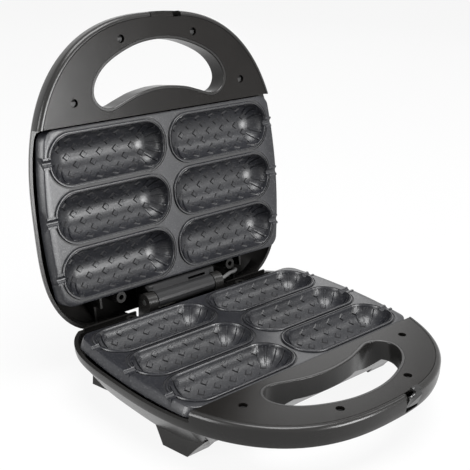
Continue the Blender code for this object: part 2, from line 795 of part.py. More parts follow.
def base_hollow():
    """Inside of the base, in front of which stands the handle's rear wall."""
    front = BLOCK_FRONT - FIT
    rear = RIM_REAR - SHELL_WALL
    rings = [rim_ring(SHELL_WALL, -OVERRUN, front, rear)]
    level = HANDLE_DEPTH - CHANNEL_FLOOR
    rings.append(rim_ring(SHELL_WALL + BASE_EDGE_INSET, level, front, rear))
    span = HULL_DEPTH - HANDLE_DEPTH
    limit = HOLE_REAR - HOLE_LIP
    rings.append(hull_ring(0.0, HANDLE_DEPTH + OVERRUN / 2, SHELL_WALL, 0.0, limit))
    share = (span - FLOOR_WALL) / span
    rings.append(hull_ring(share, HULL_DEPTH - FLOOR_WALL, SHELL_WALL, OVERRUN))
    return loft("base_hollow", rings)


def dome_ring(shares, wall_shares, thickness):
    height, side, front, rear = shares
    in_share, up_share = wall_shares
    inset = DOME_SIDE_RUN * side + thickness * in_share
    level = DOME_HEIGHT * height - thickness * up_share
    front_edge = DOME_FRONT - DOME_FRONT_RUN * front - thickness * in_share
    rear_edge = RIM_REAR - DOME_REAR_RUN * rear - thickness * in_share
    return inset, level, front_edge, rear_edge


def lid_dome():
    rings = []
    start = dome_ring(DOME_SHARES[0], DOME_WALL_SHARES[0], 0.0)
    rings.append(rim_ring(start[0], EDGE_START, start[2], start[3]))
    for shares, wall_shares in zip(DOME_SHARES, DOME_WALL_SHARES):
        values = dome_ring(shares, wall_shares, 0.0)
        rings.append(rim_ring(*values))
    return loft("dome", rings)


def lid_hollow():
    limit = BLOCK_FRONT - FIT
    rings = [rim_ring(SHELL_WALL, -OVERRUN, limit, RIM_REAR - SHELL_WALL)]
    rings.append(rim_ring(SHELL_WALL, EDGE_START, limit, RIM_REAR - SHELL_WALL))
    for index in HOLLOW_LEVELS:
        values = dome_ring(DOME_SHARES[index], DOME_WALL_SHARES[index], SHELL_WALL)
        inset, level, front, rear = values
        rings.append(rim_ring(inset, level, min(front, limit), rear))
    return loft("lid_hollow", rings)


def keep_posts(hollow, floor, has_block):
    """Leave the posts and ribs standing in a shell's hollow."""
    deep = -floor - OVERRUN
    for place in corner_post_places():
        cut(hollow, cylinder("post", POST_RADIUS, place, deep, -SIDE_RIM_DROP - FIT))
    reflector_low = REFLECTOR_LEVEL + REFLECTOR_THICKNESS
    for place in reflector_post_places():
        cut(hollow, cylinder("post", POST_RADIUS, place, deep, -reflector_low - FIT))
    for side in (-1, 1):
        place = (side * RING_POST_X, RING_POST_FRONT)
        post = cylinder("post", RING_POST_RADIUS + FIT, place, deep, -SIDE_RIM_DROP - FIT, MIDDLE_SIDES)
        cut(hollow, post)
        rib_left = side * REAR_RIB_X - REAR_RIB_THICKNESS / 2
        rib_right = rib_left + REAR_RIB_THICKNESS
        low_top = -REAR_RELIEF_DEPTH - REAR_RIB_THICKNESS
        outline = [(-REAR_RIB_FRONT, deep), (-REAR_RIB_FRONT, -SIDE_RIM_DROP - FIT)]
        outline += [(-REAR_RIB_REAR, -SIDE_RIM_DROP - FIT), (-REAR_RIB_REAR, low_top)]
        outline += [(RIM_REAR + OVERRUN, low_top), (RIM_REAR + OVERRUN, deep)]
        cut(hollow, side_plate("rib", outline, rib_left, rib_right))
    if has_block:
        wide = RIM_HALF_WIDTH + OVERRUN
        for left, right in ((-wide, -CROSS_RIB_LEFT), (LUG_OUTER - LUG_STEP, wide)):
            rib = box("rib", left, right, -CROSS_RIB_REAR, -CROSS_RIB_FRONT, deep, -SIDE_RIM_DROP - FIT)
            cut(rib, box("cord_way", GLAND_X - CORD_WAY_HALF, GLAND_X + CORD_WAY_HALF,
                         -CROSS_RIB_REAR - OVERRUN, OVERRUN, -floor + FLOOR_WALL, -CORD_WAY_TOP))
            cut(hollow, rib)
        half = BLOCK_SEAT_WIDTH / 2
        seat_top = -floor + FLOOR_WALL + BLOCK_SEAT_HEIGHT
        cut(hollow, box("seat", -BLOCK_X - half, -BLOCK_X + half, -half / 2, half / 2, deep, seat_top))


def cut_handle(shell):
    """Channel, cover seat, screw posts and finger hole of a handle."""
    floor = HANDLE_DEPTH - CHANNEL_FLOOR
    channel = loft("channel", [rim_ring(CHANNEL_WALL, -OVERRUN), rim_ring(CHANNEL_WALL, floor)])
    rear = BLOCK_FRONT + CHANNEL_REAR_WALL
    far = RIM_REAR + OVERRUN
    wide = RIM_HALF_WIDTH + OVERRUN
    cut(channel, box("rear", -wide, wide, -far, rear, -HANDLE_DEPTH - OVERRUN, 2 * OVERRUN))
    cut(channel, flat("island", hole_outline(HOLE_LIP + HOLE_LEDGE), -HANDLE_DEPTH - OVERRUN, 2 * OVERRUN))
    cup = SCREW_HEAD_RADIUS + FIT + CUP_WALL
    for place in cover_screw_places():
        cut(channel, cylinder("post", cup, place, -HANDLE_DEPTH - OVERRUN, 2 * OVERRUN))
    cut(shell, channel)
    seat_low = -COVER_THICKNESS - FIT
    seat = loft("seat", [rim_ring(LIP_WIDTH, -OVERRUN), rim_ring(LIP_WIDTH, -seat_low)])
    cut(seat, box("rear", -wide, wide, -far, BLOCK_FRONT - OVERRUN, seat_low - OVERRUN, 2 * OVERRUN))
    cut(seat, flat("island", hole_outline(HOLE_LIP), seat_low - OVERRUN, 2 * OVERRUN))
    cut(shell, seat)
    cup_low = -SCREW_RECESS - CUP_WALL - FIT
    for place in cover_screw_places():
        cut(shell, cylinder("cup", cup + FIT, place, cup_low, seat_low + OVERRUN))
        bore_low = -SCREW_RECESS - SCREW_LENGTH - FIT
        cut(shell, cylinder("bore", SCREW_SHANK_RADIUS + FIT, place, bore_low, 0.0, SMALL_SIDES))
    cut(shell, flat("hole", hole_outline(0.0), -HULL_DEPTH, OVERRUN))


def ring_posts(shell):
    """Open screw rings at the rear and the bores of the corner posts."""
    for side in (-1, 1):
        place = (side * RING_POST_X, RING_POST_FRONT)
        low = -SIDE_RIM_DROP - RING_POST_RADIUS
        add(shell, cylinder("ring", RING_POST_RADIUS, place, low, -RING_POST_TOP, MIDDLE_SIDES))
        low = -RING_POST_TOP - RING_POST_BORE_DEPTH
        cut(shell, cylinder("bore", RING_POST_BORE, place, low, OVERRUN))
    for place in corner_post_places():
        low = -SIDE_RIM_DROP - PEG_LENGTH - OVERRUN
        cut(shell, cylinder("bore", PEG_RADIUS + FIT, place, low, 0.0, SMALL_SIDES))


def cut_side_rims(shell):
    """Lower the rim beside and behind the plate."""
    wide = RIM_HALF_WIDTH + OVERRUN
    cut(shell, box("rims", -wide, wide, -RIM_REAR - OVERRUN, BLOCK_FRONT, -SIDE_RIM_DROP, OVERRUN))


def foot(side, out, front, width, depth, rear_spread, front_spread):
    """Tapered foot, flush with the hull's side; spreads are how far its top runs out."""
    rings = []
    skew = width * FOOT_SKEW_SHARE
    levels = (FOOT_TOP, HULL_DEPTH, FACE_HEIGHT - FOOT_CLEAR)
    for level, share in zip(levels, FOOT_DRAWN_SHARES):
        drawn = HULL_BOTTOM_ROUND * share
        rear_line = front - depth - rear_spread * share
        front_line = front + front_spread * share
        outer_front = (side * (out - drawn - skew), front_line)
        outer_rear = (side * (out - drawn), rear_line)
        inner_rear = (side * (out - drawn - width), rear_line)
        inner_front = (side * (out - drawn - width - skew), front_line)
        rings.append(ring_at((outer_front, outer_rear, inner_rear, inner_front), level))
    return loft("foot", rings)


def foot_specs():
    """Name, side, sizes and spreads of each foot."""
    specs = []
    for side, word in ((-1, "left"), (1, "right")):
        front = (FRONT_FOOT_OUT, FRONT_FOOT_FRONT, FRONT_FOOT_WIDTH, FRONT_FOOT_DEPTH)
        rear = (REAR_FOOT_OUT, REAR_FOOT_FRONT, REAR_FOOT_WIDTH, REAR_FOOT_DEPTH)
        specs.append(("front_" + word, side, front, (FRONT_FOOT_REAR_SPREAD, FRONT_FOOT_FRONT_SPREAD)))
        specs.append(("rear_" + word, side, rear, (HULL_BOTTOM_ROUND, HULL_BOTTOM_ROUND)))
    return specs


def pad_place(side, sizes):
    """Middle of the pad under a foot."""
    out, front, width, depth = sizes
    return side * (out - width * PAD_PLACE_SHARE), front - depth / 2


def add_feet(shell):
    for _, side, sizes, spreads in foot_specs():
        add(shell, foot(side, *sizes, *spreads))
    for _, side, sizes, _ in foot_specs():
        top = -FACE_HEIGHT + PAD_THICKNESS + FIT
        recess = cylinder("recess", PAD_RADIUS + FIT, pad_place(side, sizes), -FACE_HEIGHT, top, MIDDLE_SIDES)
        cut(shell, recess)


def add_hinge_lugs(shell):
    """Two lugs that hold the hinge pin."""
    axis = FACE_GAP / 2
    for side in (-1, 1):
        left = min(side * LUG_INNER, side * LUG_OUTER)
        right = max(side * LUG_INNER, side * LUG_OUTER)
        outline = [(-BARREL_RADIUS, -HULL_DEPTH + FLOOR_WALL / 2)]
        steps = 12
        for step in range(steps + 1):
            angle = math.pi * step / steps
            outline.append((-BARREL_RADIUS * math.cos(angle), axis + BARREL_RADIUS * math.sin(angle)))
        outline.append((BARREL_RADIUS, -HULL_DEPTH + FLOOR_WALL / 2))
        add(shell, side_plate("lug", outline, left, right))
        bore = rod("bore", PIN_RADIUS + FIT, left - OVERRUN, right + OVERRUN, (0.0, axis))
        cut(shell, bore)


def latch_box(name, margin, rear, low, high):
    """Box round the clip that runs out past the front edge."""
    half = LATCH_WIDTH / 2 + margin
    front = RIM_FRONT + OVERRUN
    return box(name, LATCH_X - half, LATCH_X + half, rear, front, low, high)


def add_rear_ribs(shell):
    """Upper edge of the cross rib beside the hinge, and the sill under the hinge barrel."""
    rear = -CROSS_RIB_REAR + CROSS_RIB_STEP
    front = -CROSS_RIB_FRONT - CROSS_RIB_STEP
    low = -SIDE_RIM_DROP - OVERRUN
    left_end = -CROSS_RIB_LEFT - CROSS_RIB_STEP
    for left, right in ((-CROSS_RIB_OUTER, left_end), (LUG_OUTER - LUG_STEP, CROSS_RIB_OUTER)):
        add(shell, box("rib", left, right, rear, front, low, -CROSS_RIB_TOP))
    half = LUG_INNER + LUG_STEP
    add(shell, box("sill", -half, half, -SILL_REAR, SILL_FRONT, -SILL_LOW, -SILL_TOP))


def make_base_shell():
    shell = band(BASE_EDGE_INSET)
    add(shell, base_hull())
    hollow = base_hollow()
    keep_posts(hollow, HULL_DEPTH, True)
    cut(shell, hollow)
    cut_side_rims(shell)
    wide = RIM_HALF_WIDTH + OVERRUN
    cut(shell, box("relief", -wide, wide, -RIM_REAR - OVERRUN, -REAR_RELIEF_START, -REAR_RELIEF_DEPTH,
                   OVERRUN))
    cut_handle(shell)
    housing_rear = LATCH_RECESS_FRONT - LATCH_BACK_WALL
    low = -HANDLE_DEPTH + CHANNEL_FLOOR / 2
    housing = latch_box("housing", LATCH_GAP + LATCH_SIDE_WALL, housing_rear, low, -COVER_THICKNESS - FIT)
    inset = CHANNEL_WALL / 2
    trim = loft("trim", [rim_ring(inset, -OVERRUN), rim_ring(inset, HANDLE_DEPTH)])
    combine(housing, trim, "INTERSECT")
    add(shell, housing)
    cut(shell, latch_box("recess", LATCH_GAP, LATCH_RECESS_FRONT, -LATCH_RECESS_DEPTH, OVERRUN))
    half = LATCH_WIDTH / 2 + LATCH_GAP + LATCH_SIDE_WALL
    pin = rod("pin_bore", LATCH_PIN_RADIUS + FIT, LATCH_X - half + FIT, LATCH_X + half - FIT,
              (LATCH_PIN_FRONT, -LATCH_PIN_LEVEL), SMALL_SIDES)
    cut(shell, pin)
    ring_posts(shell)
    add_hinge_lugs(shell)
    add_rear_ribs(shell)
    add_feet(shell)
    centre = (GLAND_X, -GLAND_LEVEL)
    add(shell, barrel("pad", GLAND_PAD_RADIUS, -RIM_REAR, -GLAND_PAD_INNER, centre))
    cut(shell, barrel("hole", GLAND_RADIUS + FIT, -RIM_REAR - OVERRUN, -GLAND_PAD_INNER + OVERRUN,
                      centre))
    finish(shell, "base_shell", HOUSING)


def make_lid_shell(pivot):
    shell = band(LID_EDGE_INSET)
    add(shell, lid_dome())
    hollow = lid_hollow()
    keep_posts(hollow, DOME_HEIGHT, False)
    arm_post_low = ARM_HEIGHT + ARM_FLANGE_THICKNESS + FIT - FACE_GAP / 2
    for side in (-1, 1):
        place = (side * ARM_SCREW_X, ARM_SCREW_FRONT)
        cut(hollow, cylinder("post", ARM_POST_RADIUS, place, -DOME_HEIGHT - OVERRUN, -arm_post_low))
    cut(shell, hollow)
    cut_side_rims(shell)
    window = box("window", -REAR_WINDOW_HALF, REAR_WINDOW_HALF, -RIM_REAR - OVERRUN, 0.0,
                 -REAR_WINDOW_DEPTH, OVERRUN)
    cut(shell, window)
    cut_handle(shell)
    notch = box("notch", -LID_NOTCH_LEFT, LID_NOTCH_RIGHT, LATCH_RECESS_FRONT - OVERRUN,
                RIM_FRONT + OVERRUN, -SIDE_RIM_DROP, OVERRUN)
    cut(shell, notch)
    ring_posts(shell)
    for side in (-1, 1):
        place = (side * ARM_SCREW_X, ARM_SCREW_FRONT)
        low = -arm_post_low - SCREW_LENGTH - FIT
        bore = SCREW_SHANK_RADIUS + FIT
        cut(shell, cylinder("bore", bore, place, low, -ARM_HEIGHT + OVERRUN, SMALL_SIDES))
        lens = (side * LENS_X, LENS_FRONT)
        lens_low = -LENS_FLANGE_LEVEL + OVERRUN
        cut(shell, cylinder("lens_hole", LENS_RADIUS + FIT, lens, -DOME_HEIGHT, lens_low))
    finish(shell, "lid_shell", HOUSING, pivot, turned=True)


# Handle covers

def make_cover(name, pivot, has_tongue):
    """Flat plate that closes a handle's channel round the finger hole."""
    edge = LIP_WIDTH + FIT
    rings = [rim_ring(edge + COVER_CHAMFER, 0.0), rim_ring(edge, COVER_CHAMFER)]
    rings.append(rim_ring(edge, COVER_THICKNESS))
    cover = loft("cover", rings)
    wide = RIM_HALF_WIDTH + OVERRUN
    low = -COVER_THICKNESS - OVERRUN
    cut(cover, box("rear", -wide, wide, -RIM_REAR - OVERRUN, BLOCK_FRONT + FIT, low, OVERRUN))
    if has_tongue:
        tongue = box("tongue", -LID_TONGUE_LEFT, LID_TONGUE_RIGHT, LID_CATCH_FRONT, LID_TONGUE_FRONT,
                     -LID_TONGUE_DEPTH, -COVER_CHAMFER)
        trim = loft("trim", [rim_ring(OVERRUN, -OVERRUN), rim_ring(OVERRUN, HANDLE_DEPTH)])
        combine(tongue, trim, "INTERSECT")
        add(cover, tongue)
        cut(cover, box("catch", LID_TONGUE_RIGHT, LID_NOTCH_RIGHT, LID_CATCH_FRONT,
                       LID_TONGUE_FRONT + OVERRUN, low, OVERRUN))
    cut(cover, flat("hole", hole_outline(HOLE_LIP + FIT), low, OVERRUN))
    cup = SCREW_HEAD_RADIUS + FIT + CUP_WALL
    for place in cover_screw_places():
        add(cover, cylinder("cup", cup, place, -SCREW_RECESS - CUP_WALL, -COVER_THICKNESS / 2))
        cut(cover, cylinder("recess", SCREW_HEAD_RADIUS + FIT, place, -SCREW_RECESS, OVERRUN))
        cup_low = -SCREW_RECESS - CUP_WALL - OVERRUN
        cut(cover, cylinder("bore", SCREW_SHANK_RADIUS + FIT, place, cup_low, 0.0, SMALL_SIDES))
    finish(cover, name, HOUSING, pivot, turned=pivot is not None)


def screw(name, place, head_low, pivot, head_up=True):
    """Screw; the head's underside is at head_low and the shank runs on from it."""
    way = 1 if head_up else -1
    head_far = head_low + way * SCREW_HEAD_HEIGHT
    shank_far = head_low - way * (SCREW_LENGTH - FIT)
    low, high = sorted((head_low, head_far))
    made = cylinder("head", SCREW_HEAD_RADIUS, place, low, high)
    low, high = sorted((head_low + way * SCREW_HEAD_HEIGHT / 2, shank_far))
    add(made, cylinder("shank", SCREW_SHANK_RADIUS, place, low, high, SHANK_SIDES))
    finish(made, name, SCREW_METAL, pivot, turned=pivot is not None)


# Cooking plates

def make_plate(name, pivot):
    """Cast plate with six half-round troughs, a bead round each and a groove for each stick."""
    deck_low = FIELD_DROP + PLATE_WALL
    outline = plate_outline(0.0)
    plate = loft("plate", [ring_at(outline, FIELD_DROP), ring_at(outline, PLATE_SKIRT)])
    outline = plate_outline(PLATE_WALL)
    cut(plate, loft("under", [ring_at(outline, deck_low), ring_at(outline, PLATE_SKIRT + OVERRUN)]))
    for centre in trough_places():
        rings = []
        for angle in BOWL_ANGLES_DEG:
            turn = math.radians(angle)
            grow = PLATE_WALL - (TROUGH_HALF_WIDTH + PLATE_WALL) * (1.0 - math.cos(turn))
            level = max((TROUGH_DEPTH + PLATE_WALL) * math.sin(turn), FIELD_DROP * BOWL_TOP_SHARE)
            rings.append(ring_at(trough_outline(centre, grow), level))
        add(plate, loft("bowl", rings))
    for row in (-0.5, 0.5):
        front = PLATE_CENTRE + row * TROUGH_PITCH
        rib_top = -FIELD_DROP - PLATE_WALL / 2
        add(plate, box("rib", -HEATER_BEND_X, HEATER_END_X - RIB_WIDTH, front - RIB_WIDTH / 2,
                       front + RIB_WIDTH / 2, -HEATER_LEVEL + HEATER_RADIUS + FIT, rib_top))
    for place in centre_boss_places():
        add(plate, cylinder("boss", BOSS_RADIUS, place, -REFLECTOR_LEVEL + FIT, -deck_low + OVERRUN))
    for place in corner_post_places():
        add(plate, cylinder("boss", PEG_BOSS_RADIUS, place, -SIDE_RIM_DROP, -deck_low + OVERRUN))
        peg_low = -SIDE_RIM_DROP - PEG_LENGTH
        add(plate, cylinder("peg", PEG_RADIUS, place, peg_low, -SIDE_RIM_DROP + OVERRUN, SMALL_SIDES))
    for centre in trough_places():
        outer = trough_outline(centre, BEAD_WIDTH + BEAD_SLOPE)
        rings = [ring_at(trough_outline(centre, BEAD_WIDTH), 0.0), ring_at(outer, FIELD_DROP)]
        rings.append(ring_at(outer, FIELD_DROP * BEAD_FOOT_SHARE))
        add(plate, loft("bead", rings))
    for centre in trough_places():
        side = 1 if centre[0] > 0 else -1
        inner = centre[0] + side * TROUGH_HALF_LENGTH
        outer = side * (PLATE_HALF_WIDTH - PLATE_WALL - FIT)
        half = STICK_RADIUS + STICK_WALL
        left, right = sorted((inner, outer))
        add(plate, box("guide", left, right, centre[1] - half, centre[1] + half, -deck_low + FIELD_DROP / 2,
                       0.0))
    for centre in trough_places():
        rings = []
        for angle in TROUGH_ANGLES_DEG:
            turn = math.radians(angle)
            grow = -TROUGH_HALF_WIDTH * (1.0 - math.cos(turn))
            level = TROUGH_DEPTH * math.sin(turn)
            rings.append(ring_at(trough_outline(centre, grow), level))
        rings.insert(0, ring_at(trough_outline(centre, 0.0), -OVERRUN))
        cut(plate, loft("trough", rings))
        side = 1 if centre[0] > 0 else -1
        inner = centre[0] + side * (TROUGH_HALF_LENGTH - STICK_RADIUS)
        outer = side * (PLATE_HALF_WIDTH + OVERRUN)
        left, right = sorted((inner, outer))
        cut(plate, rod("groove", STICK_RADIUS, left, right, (centre[1], FACE_GAP / 2), PLAIN_SIDES))
    for place in centre_boss_places():
        low = -REFLECTOR_LEVEL - OVERRUN
        high = -REFLECTOR_LEVEL + SCREW_LENGTH
        cut(plate, cylinder("bore", SCREW_SHANK_RADIUS + FIT, place, low, high, SMALL_SIDES))
    finish(plate, name, COATING, pivot, turned=pivot is not None)


# Heaters and reflectors

def make_heater(name, pivot):
    """Bent heating tube with a terminal pin at each end."""
    half = TROUGH_PITCH / 2
    points = [(HEATER_END_X, -(PLATE_CENTRE - half), -HEATER_LEVEL)]
    for step in range(HEATER_BEND_STEPS + 1):
        angle = math.pi * step / HEATER_BEND_STEPS
        x = -HEATER_BEND_X - HEATER_BEND_REACH * math.sin(angle)
        points.append((x, -(PLATE_CENTRE - half * math.cos(angle)), -HEATER_LEVEL))
    points.append((HEATER_END_X, -(PLATE_CENTRE + half), -HEATER_LEVEL))
    heater = tube("heater", points, HEATER_RADIUS)
    for row in (-1, 1):
        place = (PLATE_CENTRE + row * half, -HEATER_LEVEL)
        right = HEATER_END_X + HEATER_PIN_LENGTH
        add(heater, rod("pin", HEATER_PIN_RADIUS, HEATER_END_X - OVERRUN, right, place, SMALL_SIDES))
    finish(heater, name, HEATER_STEEL, pivot, turned=pivot is not None)


def make_reflector(name, pivot):
    """Shallow tray behind the heater."""
    outer = inset_plate(REFLECTOR_INSET)
    inner = inset_plate(REFLECTOR_INSET + REFLECTOR_THICKNESS)
    low = REFLECTOR_LEVEL + REFLECTOR_THICKNESS
    top = REFLECTOR_LEVEL - REFLECTOR_LIP
    pan = loft("pan", [ring_at(outer, top), ring_at(outer, low)])
    cut(pan, loft("inside", [ring_at(inner, top - OVERRUN), ring_at(inner, REFLECTOR_LEVEL)]))
    for place in centre_boss_places():
        bore = SCREW_SHANK_RADIUS + FIT
        high = -REFLECTOR_LEVEL + OVERRUN
        cut(pan, cylinder("bore", bore, place, -low - OVERRUN, high, SMALL_SIDES))
    finish(pan, name, ALUMINIUM, pivot, turned=pivot is not None)


# Electrical pieces of the base

def make_electrical():
    top = -REFLECTOR_LEVEL - REFLECTOR_THICKNESS - FIT
    place = (0.0, PLATE_CENTRE)
    flange_low = top - THERMOSTAT_FLANGE
    can_low = flange_low - THERMOSTAT_HEIGHT
    can = cylinder("flange", THERMOSTAT_RADIUS + THERMOSTAT_RIM, place, flange_low, top, MIDDLE_SIDES)
    can_top = flange_low + THERMOSTAT_FLANGE / 2
    add(can, cylinder("can", THERMOSTAT_RADIUS, place, can_low, can_top, MIDDLE_SIDES))
    for side in (-1, 1):
        middle = side * THERMOSTAT_RADIUS / 2
        half = THERMOSTAT_TAB_THICKNESS / 2
        tab = box("tab", middle - half, middle + half, place[1] - THERMOSTAT_TAB_WIDTH / 2,
                  place[1] + THERMOSTAT_TAB_WIDTH / 2, can_low - THERMOSTAT_TAB, can_low + OVERRUN)
        add(can, tab)
    finish(can, "base_thermostat", STEEL)
    x = -BLOCK_X
    low = -HULL_DEPTH + FLOOR_WALL + BLOCK_SEAT_HEIGHT + FIT
    block = box("block", x - BLOCK_LENGTH / 2, x + BLOCK_LENGTH / 2, -BLOCK_WIDTH / 2, BLOCK_WIDTH / 2,
                low, low + BLOCK_HEIGHT)
    pitch = BLOCK_LENGTH / 3
    for step in (-1, 0, 1):
        hole = barrel("wire_hole", BLOCK_HOLE, -BLOCK_WIDTH, BLOCK_WIDTH,
                      (x + step * pitch, low + BLOCK_HEIGHT / 2), SMALL_SIDES)
        cut(block, hole)
        for way in (-1, 1):
            place = (x + step * pitch, way * BLOCK_WIDTH / 4)
            middle = low + BLOCK_HEIGHT / 2
            cut(block, cylinder("screw_hole", BLOCK_HOLE, place, middle, middle + BLOCK_HEIGHT, SMALL_SIDES))
    finish(block, "base_terminal_block", CERAMIC)
    centre = (GLAND_X, -GLAND_LEVEL)
    inner = -GLAND_PAD_INNER
    outer = -RIM_REAR
    far = outer - FIT - GLAND_FLANGE
    near = inner + FIT + GLAND_FLANGE
    gland = barrel("gland", GLAND_RADIUS, far + WELD, near - WELD, centre)
    add(gland, barrel("flange", GLAND_FLANGE_RADIUS, far, outer - FIT, centre))
    add(gland, barrel("flange", GLAND_FLANGE_RADIUS, inner + FIT, near, centre))
    cut(gland, barrel("bore", GLAND_BORE, far - OVERRUN, near + OVERRUN, centre, PLAIN_SIDES))
    finish(gland, "base_cord_gland", RUBBER)


# Hinge, latch, feet and lamps

def make_hinge(pivot):
    """Pin, the lid's barrel with its web and flange, its screws and the lead that crosses over."""
    axis = FACE_GAP / 2
    pin = rod("pin", PIN_RADIUS, -LUG_OUTER + FIT, LUG_OUTER - FIT, (0.0, axis))
    finish(pin, "hinge_pin", STEEL)
    arm = rod("arm", BARREL_RADIUS, -BARREL_HALF_LENGTH, BARREL_HALF_LENGTH, (0.0, 0.0), FINE_SIDES)
    add(arm, box("web", -BARREL_HALF_LENGTH, BARREL_HALF_LENGTH, WEB_REAR, WEB_FRONT, -WEB_LOW, WEB_HIGH))
    add(arm, box("ears", -WEB_HALF_WIDTH, WEB_HALF_WIDTH, WEB_EAR_REAR, WEB_FRONT - WELD, -WEB_LOW + WELD,
                 WEB_HIGH - WELD))
    add(arm, box("wall", -ARM_HALF_WIDTH, ARM_HALF_WIDTH, WEB_FRONT - ARM_THICKNESS, WEB_FRONT,
                 0.0, ARM_HEIGHT + ARM_FLANGE_THICKNESS))
    add(arm, box("flange", -ARM_HALF_WIDTH, ARM_HALF_WIDTH, -ARM_FLANGE_REAR, WEB_FRONT,
                 ARM_HEIGHT, ARM_HEIGHT + ARM_FLANGE_THICKNESS))
    cut(arm, box("window", WEB_WINDOW_START, WEB_WINDOW_END, WEB_WINDOW_REAR, WEB_FRONT - ARM_THICKNESS,
                 -WEB_LOW - OVERRUN, WEB_HIGH + OVERRUN))
    reach = BARREL_HALF_LENGTH + OVERRUN
    cut(arm, rod("bore", PIN_RADIUS + FIT, -reach, reach, (0.0, 0.0)))
    for side in (-1, 1):
        place = (side * ARM_SCREW_X, ARM_SCREW_FRONT)
        cut(arm, cylinder("bore", SCREW_SHANK_RADIUS + FIT, place, ARM_HEIGHT - OVERRUN,
                          ARM_HEIGHT + ARM_FLANGE_THICKNESS + OVERRUN, SMALL_SIDES))
    finish(arm, "lid_hinge_arm", HINGE_GREY, pivot)
    for side, word in ((-1, "left"), (1, "right")):
        place = (side * ARM_SCREW_X, ARM_SCREW_FRONT)
        level = -(ARM_HEIGHT - FIT - FACE_GAP / 2)
        screw("lid_arm_screw_" + word, place, level, pivot)
    points = []
    for along, bow, rise in LEAD_SHARES:
        points.append((LEAD_START + LEAD_SPAN * along, -LEAD_BOW * bow, LEAD_RISE * rise))
    finish(tube("lead", points, LEAD_RADIUS), "lid_supply_lead", LEAD_SLEEVE, pivot)


def make_latch():
    """Clip with a hook on its pin, leaning out as it does when released."""
    front = LATCH_PIN_FRONT
    level = -LATCH_PIN_LEVEL
    half = LATCH_WIDTH / 2 + LATCH_GAP + LATCH_SIDE_WALL - 2 * FIT
    pin = rod("pin", LATCH_PIN_RADIUS, LATCH_X - half, LATCH_X + half, (front, level), SMALL_SIDES)
    finish(pin, "latch_pin", STEEL)
    outer = LATCH_BOSS_RADIUS
    inner = outer - LATCH_PLATE_THICKNESS
    outline = []
    steps = 8
    for step in range(steps + 1):
        angle = math.pi * step / steps
        outline.append((-outer * math.cos(angle), -outer * math.sin(angle)))
    outline.append((outer, outer / 2))
    outline.append((-inner, outer + inner))
    outline.append((-inner, LATCH_PLATE_TOP))
    outline.append((-outer, LATCH_PLATE_TOP - inner))
    clip = side_plate("clip", outline, -LATCH_WIDTH / 2, LATCH_WIDTH / 2)
    rise = LATCH_HOOK_TOP - LATCH_HOOK_THICKNESS
    hook_outer = outer - inner / 2
    hook = [(-hook_outer, LATCH_PLATE_TOP - LATCH_PLATE_THICKNESS), (-hook_outer, LATCH_HOOK_TOP)]
    hook.append((LATCH_HOOK_REACH, rise + LATCH_HOOK_TIP))
    hook.append((LATCH_HOOK_REACH, rise))
    hook.append((-inner - LATCH_HOOK_STEP, rise))
    hook.append((-inner - LATCH_HOOK_STEP, LATCH_PLATE_TOP - LATCH_PLATE_THICKNESS))
    add(clip, side_plate("hook", hook, -LATCH_HOOK_WIDTH / 2, LATCH_HOOK_WIDTH / 2))
    cut(clip, rod("bore", LATCH_PIN_RADIUS + FIT, -LATCH_WIDTH, LATCH_WIDTH, (0.0, 0.0), SMALL_SIDES))
    part = finish(clip, "latch_clip", CLIP_BLACK)
    part.location = (LATCH_X, HINGE_BACK - front, FACE_HEIGHT + level)
    part.rotation_euler = (math.radians(LATCH_RELEASE_DEG), 0.0, 0.0)


def make_pads():
    for word, side, sizes, _ in foot_specs():
        top = -FACE_HEIGHT + PAD_THICKNESS
        pad = cylinder("pad", PAD_RADIUS, pad_place(side, sizes), -FACE_HEIGHT, top, MIDDLE_SIDES)
        finish(pad, "foot_pad_" + word, RUBBER)


def make_lenses(pivot):
    for side, word, look in ((-1, "power", RED_LENS), (1, "ready", GREEN_LENS)):
        place = (side * LENS_X, LENS_FRONT)
        low = -LENS_TOP + LENS_FLANGE_THICKNESS
        lens = cylinder("lens", LENS_TIP_RADIUS, place, -LENS_TOP, low, MIDDLE_SIDES, LENS_RADIUS)
        top = -LENS_FLANGE_LEVEL + LENS_FLANGE_THICKNESS
        add(lens, cylinder("stem", LENS_RADIUS, place, low - WELD, top, MIDDLE_SIDES))
        flange = LENS_RADIUS + LENS_FLANGE
        add(lens, cylinder("flange", flange, place, -LENS_FLANGE_LEVEL, top + FIT, MIDDLE_SIDES))
        finish(lens, "lid_" + word + "_lens", look, pivot, turned=True)


def make_all():
    pivot = bpy.data.objects.new("lid_pivot", None)
    PARTS.objects.link(pivot)
    pivot.location = (0.0, HINGE_BACK, FACE_HEIGHT + FACE_GAP / 2)
    pivot.rotation_euler = (-math.radians(OPEN_ANGLE_DEG), 0.0, 0.0)
    make_base_shell()
    make_lid_shell(pivot)
    for word, parent in (("base", None), ("lid", pivot)):
        make_cover(word + "_handle_cover", parent, parent is not None)
        make_plate(word + "_plate", parent)
        make_heater(word + "_heater", parent)
        make_reflector(word + "_reflector", parent)
        names = ("side_left", "front_left", "side_right", "front_right")
        for spot, place in zip(names, cover_screw_places()):
            screw(word + "_cover_screw_" + spot, place, -SCREW_RECESS + FIT, parent)
        for spot, place in zip(("rear", "front"), centre_boss_places()):
            low = -REFLECTOR_LEVEL - REFLECTOR_THICKNESS - FIT
            screw(word + "_reflector_screw_" + spot, place, low, parent, False)
    make_electrical()
    make_hinge(pivot)
    make_latch()
    make_pads()
    make_lenses(pivot)


make_all()
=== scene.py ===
"""Looks of the corn dog maker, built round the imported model."""
import json
import math

import bmesh
import bpy
from mathutils import Matrix, Vector

